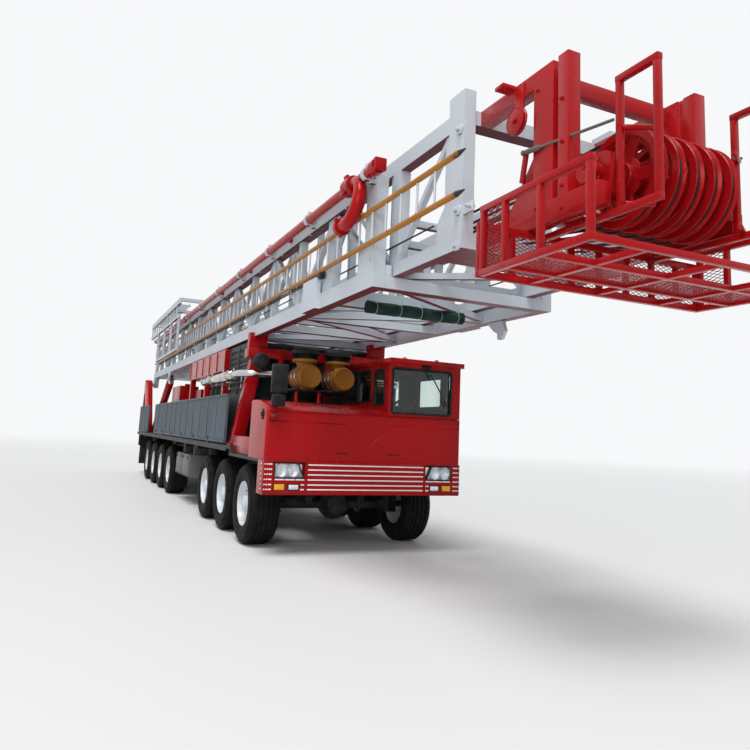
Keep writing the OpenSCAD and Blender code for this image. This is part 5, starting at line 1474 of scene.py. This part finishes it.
finished(guides, "mast_guides_and_lugs", "lower_mast", "white_paint", mast_white)

# Power cables clipped along the mast's right side and inside the upper section:
# black sheathed, drawn straight between their clips.
cables, clips = [], []
for y, z, x0, x1 in ((-1.187, 3.6, -13.2, 2.25), (-1.187, 3.63, -13.2, 2.25), (-1.187, 4.28, -12.5, 3.3)):
    cables.append(rod((front_axle + x0, y, z), (front_axle + x1, y, z), 0.022, 10))
    x = x0 + 0.2
    while x < x1:
        clips.append(bar(about(front_axle + x, 0.015), (y - 0.014, -1.169), about(z, 0.016), 0.003))
        x += 1.27
for y, z, x0, x1 in ((-0.945, 3.66, -12.8, 4.62), (0.945, 3.66, -12.8, 4.62)):
    cables.append(rod((front_axle + x0, y, z), (front_axle + x1, y, z), 0.018, 10))
cable_black = enamel("cable black", (0.016, 0.016, 0.018), 0.5, dust=0.4)
socket_box = bar((front_axle + 2.2, front_axle + 2.3), (-1.235, -1.171), (3.56, 3.69), 0.012, 3)
finished(joined(*cables[:3], socket_box), "mast_cables", "lower_mast", "dark_paint", cable_black)
finished(joined(*cables[3:]), "upper_mast_cables", "upper_mast", "dark_paint", cable_black)
finished(clips, "cable_clips", "lower_mast", "white_paint", mast_white)

# The mast ladder: two gold painted tube rails with bare, scuffed ends, and white
# rungs and brackets welded between them and the chord.
rail_gold = enamel(
    "ladder gold", (0.38, 0.15, 0.012), 0.3, dust=0.12, coat=0.08, wear=(0.16, 0.09, 0.04), drift=0.12,
    dust_colour=(0.22, 0.13, 0.06),
)
gold_shade = rail_gold.node_tree.nodes["Principled BSDF"].inputs["Base Color"].links[0].from_socket
height = part_of(rail_gold, "Object", 2)
rung = sum_of(rail_gold, "MULTIPLY", ramp(rail_gold, height, 3.6885, 3.6895, 0, 1),
              ramp(rail_gold, height, 3.9805, 3.9815, 1, 0))
clip = ramp(rail_gold, part_of(rail_gold, "Object", 1), -1.191, -1.189, 0, 1)
white_part = sum_of(rail_gold, "MAXIMUM", rung, clip)
tip = sum_of(
    rail_gold, "ADD", part_of(rail_gold, "Object", 0),
    ramp(rail_gold, cloud(rail_gold, 14, 4), 0.3, 0.7, -0.05, 0.05),
)
bare = ramp(rail_gold, tip, front_axle + 5.44, front_axle + 5.49, 0, 1)
set_colour(
    rail_gold,
    mixed(
        rail_gold, bare, mixed(rail_gold, white_part, gold_shade, (0.58, 0.62, 0.66)), (0.045, 0.034, 0.025)
    ),
)
dress(rail_gold, "mast_ladder")

# The standpipe along the top chord: red painted line pipe with a hammer union
# and a gooseneck, held by white J-clamps.
dress(red_enamel, "standpipe")
pipe_y, pipe_z, neck_x = -1.265, 4.43, front_axle + 3.35
fittings = []
lengthwise = Matrix.Rotation(-math.pi / 2, 4, "Z")
for x in (neck_x - 0.1, neck_x):
    ring = lathe(
        [(0.09, -0.05), (0.104, -0.045), (0.108, 0), (0.104, 0.045), (0.09, 0.05), (0.09, -0.05)], 48
    )
    ring.data.transform(Matrix.Translation((x - 0.05, pipe_y, pipe_z)) @ lengthwise)
    fittings.append(ring)
for turn in range(3):
    a = math.radians(120 * turn + 20)
    wing = bar((-0.045, 0.045), (-0.022, 0.022), (0.09, 0.15), 0.012, 3)
    wing.data.transform(Matrix.Translation((neck_x - 0.15, pipe_y, pipe_z)) @ Matrix.Rotation(a, 4, "X"))
    fittings.append(wing)
for x0, x1 in ((lower_front - 0.62, lower_front - 0.5), (-9.9, -9.8), (-3.9, -3.8)):
    collar = lathe(
        [
            (0.056, -0.06), (0.068, -0.06), (0.072, -0.05), (0.072, 0.05), (0.068, 0.06), (0.056, 0.06),
            (0.056, -0.06),
        ],
        40,
    )
    collar.data.transform(Matrix.Translation(((x0 + x1) / 2, pipe_y, pipe_z)) @ lengthwise)
    fittings.append(collar)
tilt = Matrix.Translation((neck_x, pipe_y, pipe_z)) @ Matrix.Rotation(math.radians(-9), 4, "X")
foot_ring = lathe(
    [(0.07, -0.04), (0.094, -0.038), (0.1, -0.02), (0.1, 0.04), (0.092, 0.05), (0.07, 0.05), (0.07, -0.04)],
    40,
)
foot_ring.data.transform(tilt @ Matrix.Translation((-0.16, 0, -0.48)) @ lengthwise)
fittings.append(foot_ring)
for turn in range(3):
    a = math.radians(120 * turn + 60)
    wing = bar((-0.03, 0.03), (-0.018, 0.018), (0.07, 0.128), 0.01, 3)
    wing.data.transform(tilt @ Matrix.Translation((-0.13, 0, -0.48)) @ Matrix.Rotation(a, 4, "X"))
    fittings.append(wing)
fittings.append(bar(
    (lower_front + 0.235, lower_front + 0.29), about(pipe_y, 0.068), about(pipe_z, 0.068), 0.012, 3
))
bend = [
    (0.24 * math.sin(math.radians(t)), 0, 0.24 * math.cos(math.radians(t)) - 0.24)
    for t in range(0, 181, 10)
]
gooseneck = pipe([(-0.05, 0, 0), *bend, (-0.05, 0, -0.48)], 0.152, 24)
gooseneck.data.transform(tilt)
fittings.append(gooseneck)
for k in range(8):
    a = math.radians(45 * k)
    for x in (0.122, 0.238):
        fittings.append(rod(
            (lower_front + x, pipe_y + 0.07 * math.cos(a), pipe_z + 0.07 * math.sin(a)),
            (lower_front + x + 0.014, pipe_y + 0.07 * math.cos(a), pipe_z + 0.07 * math.sin(a)), 0.018, 6,
            0.002,
        ))
finished(fittings, "standpipe_unions", "lower_mast", "red_paint", red_enamel)
clamps = []
x = 3.69
while x > -14:
    band = lathe([(0.058, -0.032), (0.074, -0.032), (0.074, 0.032), (0.058, 0.032), (0.058, -0.032)], 32)
    band.data.transform(Matrix.Translation((front_axle + x, pipe_y, pipe_z)) @ lengthwise)
    clamps.append(band)
    clamps.append(bar(
        about(front_axle + x, 0.032), (pipe_y + 0.02, -1.1), (pipe_z + 0.022, pipe_z + 0.036), 0.003
    ))
    clamps.append(bar(
        about(front_axle + x, 0.032), (pipe_y + 0.03, -1.171), (pipe_z - 0.1, pipe_z - 0.05), 0.004
    ))
    clamps.append(bar(
        about(front_axle + x, 0.03), about(pipe_y, 0.02), (pipe_z + 0.07, pipe_z + 0.115), 0.004
    ))
    clamps.append(rod(
        (front_axle + x - 0.045, pipe_y, pipe_z + 0.095), (front_axle + x + 0.045, pipe_y, pipe_z + 0.095),
        0.02, 8, 0.002,
    ))
    x -= 1.882
finished(clamps, "standpipe_clamps", "lower_mast", "white_paint", mast_white)

# A rolled tarpaulin under the front of the lower section: dark green coated
# cloth, wound tight, slack between its five light cords.
roll_low, roll_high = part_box("tarp_roll")
roll_x, roll_z = (roll_low[0] + roll_high[0]) / 2, (roll_low[2] + roll_high[2]) / 2
roll_ties = [roll_low[1] + share * (roll_high[1] - roll_low[1]) for share in (0.09, 0.33, 0.54, 0.75, 0.93)]
deselect()
bpy.ops.mesh.primitive_cylinder_add(vertices=48, radius=0.074, depth=roll_high[1] - roll_low[1] - 0.012)
tarp = bpy.context.object
put(tarp, (roll_x, (roll_low[1] + roll_high[1]) / 2, roll_z), 90, "X")
tarp.data.remesh_voxel_size = 0.009
bpy.ops.object.voxel_remesh()
hold = tarp.vertex_groups.new(name="hold")
for vertex in tarp.data.vertices:
    nearest = min(abs(vertex.co.y - at) for at in roll_ties)
    edge = min(vertex.co.y - roll_low[1], roll_high[1] - vertex.co.y)
    across, up = vertex.co.x - roll_x, vertex.co.z - roll_z
    turn = math.atan2(up, across)
    slack = 1 + 0.035 * math.sin(turn * 3 + vertex.co.y * 9) + 0.025 * math.sin(turn * 5 - vertex.co.y * 23)
    slack -= 0.1 * math.exp(-(nearest / 0.02) ** 2)
    if edge > 0.01:
        vertex.co.x = roll_x + across * slack
        vertex.co.z = roll_z + up * slack
    if nearest < 0.012 or edge < 0.02:
        hold.add([vertex.index], 1, "REPLACE")
wound = [vertex.co.copy() for vertex in tarp.data.vertices]
cloth = tarp.modifiers.new("cloth", "CLOTH")
cloth.settings.use_pressure = True
cloth.settings.uniform_pressure_force = 4
cloth.settings.vertex_group_mass = "hold"
cloth.settings.quality = 5
cloth.settings.effector_weights.gravity = 0
for step in range(1, 15):
    bpy.context.scene.frame_set(step)
settled = tarp.evaluated_get(bpy.context.evaluated_depsgraph_get())
swollen = [vertex.co.copy() for vertex in settled.data.vertices]
tarp.modifiers.remove(cloth)
bpy.context.scene.frame_set(1)
for vertex, start, end in zip(tarp.data.vertices, wound, swollen):
    move = end - start
    vertex.co = start + move * min(1, 0.009 / max(move.length, 1e-6))
tarp_green = new_finish("tarpaulin", (0.006, 0.022, 0.017), 0.55)
set_colour(
    tarp_green,
    mixed(
        tarp_green, ramp(tarp_green, cloud(tarp_green, 8, 6), 0.4, 0.7, 0, 1), (0.005, 0.02, 0.016),
        (0.018, 0.05, 0.04),
    ),
)
weave = [
    ramp(tarp_green, cloud(tarp_green, 1, 0, stretch), 0.3, 0.7, 0, 1)
    for stretch in ((60, 900, 60), (900, 60, 900))
]
set_bumps(
    tarp_green, (cloud(tarp_green, 22, 4, (1, 0.3, 1)), 0.004), (sum_of(tarp_green, "ADD", *weave), 0.0004)
)
finished(tarp, "tarpaulin", "lower_mast", "canvas", tarp_green, "tarp_roll", smooth=80)
edges = []
points, winds = 24, 3
for end, inward in ((roll_low[1], 0.004), (roll_high[1], -0.004)):
    spiral = []
    for k in range(winds * points):
        a = 2 * math.pi * k / points
        r = 0.012 + 0.054 * k / (winds * points)
        spiral.append((roll_x + r * math.cos(a), end + inward, roll_z + r * math.sin(a)))
    edges.append(pipe(spiral, 0.007, 6))
finished(edges, "tarpaulin_edges", "lower_mast", "canvas", tarp_green, smooth=60)
tie_cord = enamel("tie cord", (0.42, 0.42, 0.38), 0.7, dust=0.3)
tie_bands = []
for at in roll_ties:
    circle = [
        (roll_x + 0.07 * math.cos(2 * math.pi * k / 32), at, roll_z + 0.07 * math.sin(2 * math.pi * k / 32))
        for k in range(32)
    ]
    tie_bands.append(pipe(circle, 0.007, 6, cyclic=True))
    for way in (1, -1):
        hanger = [(roll_x + way * 0.055, at, roll_z + 0.045), (roll_x + way * 0.062, at, roll_z + 0.1),
                  (roll_x + way * 0.05, at, mast_bottom + 0.02)]
        tie_bands.append(pipe(hanger, 0.006, 6))
finished(tie_bands, "tarpaulin_ties", "lower_mast", "canvas", tie_cord, smooth=60)

# The crown frame: red girders and box posts welded ahead of the upper section,
# bolted through end plates, with bearing plates for the sheave shaft.
crown = softened("crown_frame", 0.006, 2)
finished(crown, "crown_girders", "upper_mast", "red_paint", red_enamel, "crown_frame")
sheave_x, sheave_z = front_axle + 6.45, 3.64
bolts = []
for sign in (-1, 1):
    for x, z in ((6.2, 3.42), (6.2, 3.6), (6.2, 3.95), (6.2, 4.3), (5.9, 3.5), (5.9, 4.0), (5.9, 4.5)):
        bolts.append(rod(
            (front_axle + x, sign * 0.739, z), (front_axle + x, sign * 0.756, z), 0.034, 6, 0.003
        ))
    for x, z in ((6.4, 3.71), (6.53, 3.56), (6.53, 3.69), (6.36, 3.56)):
        bolts.append(rod(
            (front_axle + x, sign * 0.679, z), (front_axle + x, sign * 0.695, z), 0.03, 6, 0.003
        ))
    cover = lathe(
        [
            (0, 0), (0.1, 0), (0.11, 0.006), (0.11, 0.022), (0.1, 0.03), (0.03, 0.03), (0.024, 0.02),
            (0, 0.02),
        ],
        40,
    )
    bolts.append(put(cover, (sheave_x, sign * 0.702, sheave_z), 180 if sign < 0 else 0, "X"))
    small_x, small_z = front_axle + 5.675, 4.32
    cheek = lathe([(0.107, -0.022), (0.118, -0.022), (0.118, -0.016), (0.109, -0.004), (0.109, 0.004),
                   (0.118, 0.016), (0.118, 0.022), (0.107, 0.022), (0.107, -0.022)], 48)
    bolts.append(put(cheek, (small_x, sign * 0.774, small_z)))
    bolts.append(rod((small_x, sign * 0.79, small_z), (small_x, sign * 0.82, small_z), 0.05, 16, 0.005))
    link = bar((-0.03, 0.03), (-0.012, 0.012), (0, 0.25), 0.008)
    link.data.transform(
        Matrix.Translation((
            front_axle + 5.69, sign * 0.722, 3.78
        )) @ Matrix.Rotation(math.radians(24), 4, "Y") @ Matrix.Rotation(math.radians(sign * -8), 4, "X")
    )
    bolts.append(link)
finished(bolts, "crown_bolts", "upper_mast", "red_paint", red_enamel)
stays = []
for sign in (-1, 1):
    inner, outer_end = (front_axle + 5.79, sign * 0.775, 4.0), (front_axle + 6.66, sign * 0.66, 3.95)
    stays.append(rod(inner, outer_end, 0.024, 12))
    a, b = Vector(inner), Vector(outer_end)
    stays.append(rod(a + (b - a) * 0.02, a + (b - a) * 0.2, 0.044, 16, 0.008))
    stays.append(rod(inner, a + (a - b) * 0.03, 0.05, 16, 0.01))
stay_grey = enamel("stay grey", (0.13, 0.12, 0.12), 0.38, dust=0.3, wear=(0.3, 0.29, 0.28))
finished(stays, "crown_stays", "upper_mast", "bare_steel", stay_grey)

# The crown platform: rails and posts of square tube round a floor, closed at
# its back, along its rear corners and underfoot by expanded metal.
floor_x, front_x, out_y, low_z, high_z = front_axle + 5.8, front_axle + 7.02, 1.2, 2.905, 3.46
floor_top, tall_x, tall_z, tube = 3.3447, front_axle + 6.63, 4.3, 0.05
cage = []
for z in (low_z, floor_top - 0.06):
    cage.append(bar((floor_x - 0.05, floor_x - 0.002), (-out_y, out_y), (z, z + 0.06), 0.004))
for k in range(9):
    y = min(-out_y + 0.3 * k, out_y - 0.05)
    cage.append(bar(
        (floor_x - 0.048, floor_x - 0.004), (y + 0.002, y + 0.048), (low_z + 0.056, floor_top - 0.056),
        0.003,
    ))
for sign in (-1, 1):
    for x in (floor_x, floor_x + 0.28, floor_x + 0.69, front_x - tube):
        cage.append(bar((x + 0.002, x + tube - 0.002), on_side(sign, out_y - tube + 0.002, out_y - 0.002),
                        (low_z + 0.004, high_z - 0.004), 0.005))
    for z in (low_z, high_z - tube):
        cage.append(bar((floor_x, front_x), on_side(sign, out_y - tube, out_y), (z, z + tube), 0.005))
    for x in (tall_x, front_x - tube):
        cage.append(bar(
            (x + 0.002, x + tube - 0.002), on_side(sign, 0.572, 0.618), (floor_top - 0.07, tall_z - 0.004),
            0.005,
        ))
    cage.append(bar(
        (floor_x - 0.003, front_x - 0.001), on_side(sign, 0.57, 0.62),
        (floor_top - 0.075, floor_top - 0.025), 0.005,
    ))
    cage.append(bar((tall_x, front_x), on_side(sign, 0.57, 0.62), (tall_z - tube, tall_z), 0.005))
    for x, z in ((6.68, 3.9), (6.7, 3.33)):
        cage.append(rod(
            (front_axle + x, sign * 0.6, z), (front_axle + x + 0.1, sign * 0.42, z), 0.04, 14, 0.004
        ))
for x in (floor_x + 0.28, floor_x + 0.69, front_x - tube):
    cage.append(bar(
        (x + 0.001, x + tube - 0.001), (-out_y + 0.02, out_y - 0.02), (low_z + 0.002, low_z + tube - 0.002),
        0.005,
    ))
for y in (-0.7, 0, 0.7):
    cage.append(bar(
        (floor_x - 0.003, front_x - 0.02), about(y, 0.025), (low_z + 0.004, low_z + tube - 0.004), 0.004
    ))
finished(cage, "crown_rails", "upper_mast", "red_paint", red_enamel, "crown_platform")


def expanded_metal(u, v, place):
    """Diamond mesh over u by v metres, from one crossed pair of strands repeated."""
    wide, tall = 0.075, 0.03
    slope = math.atan2(tall, wide)
    pair = []
    for turn in (slope, -slope):
        strand = bar(
            (-math.hypot(wide, tall) / 2, math.hypot(wide, tall) / 2), (-0.002, 0.002), (-0.0025, 0.0025), 0
        )
        strand.data.transform(Matrix.Rotation(turn, 4, "Y"))
        pair.append(strand)
    sheet = joined(*pair)
    across, up = max(1, round((u[1] - u[0]) / wide)), max(1, round((v[1] - v[0]) / tall))
    for axis, count, pitch in ((0, across, wide), (2, up, tall)):
        array = sheet.modifiers.new("array", "ARRAY")
        array.count = count
        array.use_relative_offset = False
        array.use_constant_offset = True
        array.constant_offset_displace = [pitch if axis == i else 0 for i in range(3)]
        take(sheet)
        bpy.ops.object.modifier_apply(modifier="array")
    scale = Matrix.Diagonal(((u[1] - u[0]) / (across * wide), 1, (v[1] - v[0]) / (up * tall), 1))
    start = Matrix.Translation((wide / 2, 0, tall / 2))
    sheet.data.transform(place @ Matrix.Translation((u[0], 0, v[0])) @ scale @ start)
    return sheet


meshes = []
quarter = Matrix.Rotation(math.pi / 2, 4, "Z")
for sign in (-1, 1):
    meshes.append(expanded_metal(
        (floor_x + 0.04, floor_x + 0.29), (low_z + 0.04, high_z - 0.04),
        Matrix.Translation((0, sign * 1.175, 0)),
    ))
for k in range(8):
    if k == 4:
        continue
    y = -out_y + 0.3 * k
    meshes.append(expanded_metal((y + 0.04, min(y + 0.31, out_y - 0.04)), (low_z + 0.05, floor_top - 0.05),
                                 Matrix.Translation((floor_x - 0.025, 0, 0)) @ quarter))
lying = Matrix.Translation((0, 0, low_z + 0.02)) @ Matrix.Rotation(math.radians(-90), 4, "X")
for y0, y1 in ((-1.16, -0.72), (-0.68, -0.02), (0.02, 0.68), (0.72, 1.16)):
    meshes.append(expanded_metal((floor_x + 0.32, floor_x + 0.7), (y0, y1), lying))
finished(meshes, "crown_mesh", "upper_mast", "red_paint", red_enamel)

# The crown sheaves: cast wheels with five kidney shaped lightening holes, side
# by side on one shaft, with black wire lines wrapped over them and clamped
# between two white bars in the upper section.
wheel = lathe(
    [
        (0.07, -0.05), (0.11, -0.05), (0.116, -0.044), (0.116, -0.013), (0.296, -0.013), (0.304, -0.02),
        (0.312, -0.034), (0.32, -0.04), (0.374, -0.04), (0.38, -0.034), (0.347, -0.017), (0.3345, -0.008),
        (0.3345, 0.008), (0.347, 0.017), (0.38, 0.034), (0.374, 0.04), (0.32, 0.04), (0.312, 0.034),
        (0.304, 0.02), (0.296, 0.013), (0.116, 0.013), (0.116, 0.044), (0.11, 0.05), (0.07, 0.05),
        (0.07, -0.05),
    ],
    72,
)
for hole in range(5):
    middle = math.radians(72 * hole + 30)
    outline = [
        (0.278 * math.cos(middle + math.radians(t)), 0.278 * math.sin(middle + math.radians(t)))
        for t in (-22, -15, -7, 0, 7, 15, 22)
    ]
    outline += [(0.255 * math.cos(middle + math.radians(25)), 0.255 * math.sin(middle + math.radians(25)))]
    outline += [
        (0.17 * math.cos(middle + math.radians(t)), 0.17 * math.sin(middle + math.radians(t)))
        for t in (20, 8, -8, -20)
    ]
    outline += [(0.255 * math.cos(middle - math.radians(25)), 0.255 * math.sin(middle - math.radians(25)))]
    with_other(wheel, shaped(outline, "y", -0.1, 0.1), "DIFFERENCE")
eased(wheel, 0.003, 2, angle=50)
spots = [-0.36 + 0.18 * k for k in range(5)]
wheels = repeated(
    wheel,
    [
        Matrix.Translation((sheave_x, y, sheave_z)) @ Matrix.Rotation(math.radians(17 * k), 4, "Y")
        for k, y in enumerate(spots)
    ],
)
shaft = rod((sheave_x, -0.7, sheave_z), (sheave_x, 0.7, sheave_z), 0.14, 40, 0.006)
finished(joined(wheels, shaft), "crown_wheels", "sheave_cluster", "red_paint", red_enamel, "crown_sheaves")
lines, line_d, wrap_r, clamp_x = [], 0.028, 0.351, front_axle + 3.74
for y in spots:
    route = [(clamp_x, y, 3.96)]
    for k in range(25):
        a = math.radians(90 - 189 * k / 24)
        route.append((sheave_x + wrap_r * math.cos(a), y, sheave_z + wrap_r * math.sin(a)))
    tail_x = sheave_x - wrap_r * math.sin(math.radians(9))
    route.append((
        clamp_x, y,
        sheave_z - wrap_r * math.cos(math.radians(9)) + (tail_x - clamp_x) * math.tan(math.radians(9)),
    ))
    lines.append(pipe(route, line_d, 8))
black_line = enamel("greased line", (0.012, 0.011, 0.012), 0.38, dust=0.25)
set_bumps(black_line, (cloud(black_line, 70, 2, (1, 3, 1)), 0.002))
finished(lines, "crown_lines", "upper_mast", "dark_paint", black_line, smooth=60)
line_clamp = joined(
    bar(about(clamp_x, 0.04), (-0.825, 0.825), (3.92, 4.0), 0.006),
    bar(about(clamp_x, 0.04), (-0.825, 0.825), (3.675, 3.755), 0.006),
)
finished(line_clamp, "line_clamps", "upper_mast", "white_paint", mast_white)

# Racking board, folded along the top of the upper section: white floor frame,
# finger bars and guard rails in rolled section and square tube.
dress(mast_white, "racking_board", "board_rails")
board_low, board_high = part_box("racking_board")
studs = []
for sign in (-1, 1):
    for k in range(13):
        x = front_axle - 12.68 + 0.35 * k
        studs.append(rod(
            (x, sign * 1.12, board_high[2] - 0.01), (x, sign * 1.12, board_high[2] + 0.025), 0.026, 12,
            0.003,
        ))
    studs.append(bar(
        (board_low[0] - 0.02, board_low[0] + 0.12), on_side(sign, 1.38, 1.49),
        (board_high[2], board_high[2] + 0.02), 0.004,
    ))
finished(studs, "board_latches", "board", "white_paint", mast_white)

# The travelling block and its hook link: flame cut side plates and the sheaves
# between them, all under gold enamel.
block_shell = softened("travelling_block", 0.008, 2)
finished(block_shell, "block_shell", "block", "gold_paint", cleaner_gold, "travelling_block")

# Rear lamps: pressed housings bolted to the tail of the deck, with round red
# and clear lenses.
tail_x = deck_low[0]
housings, red_lenses, white_lenses = [], [], []
for sign in (-1, 1):
    housings.append(bar((tail_x - 0.03, tail_x - 0.001), on_side(sign, 1.02, 1.42), (1.25, 1.36), 0.008))
    for k, lens in enumerate((red_lenses, red_lenses, white_lenses)):
        y = sign * (1.09 + 0.13 * k)
        disc = lathe([(0, 0.02), (0.025, 0.018), (0.042, 0.01), (0.046, 0), (0, 0)], 28)
        put(disc, (tail_x - 0.03, y, 1.305), 90, "Z")
        lens.append(disc)
finished(housings, "rear_lamp_housings", "carrier", "dark_paint", chassis_black)
red_lens = enamel("red lens", (0.42, 0.006, 0.006), 0.1, dust=0.1, coat=0.8)
finished(red_lenses, "rear_lamps", "carrier", "red_paint", red_lens)
finished(white_lenses, "reversing_lamps", "carrier", "cab_glazing", clear_lens)
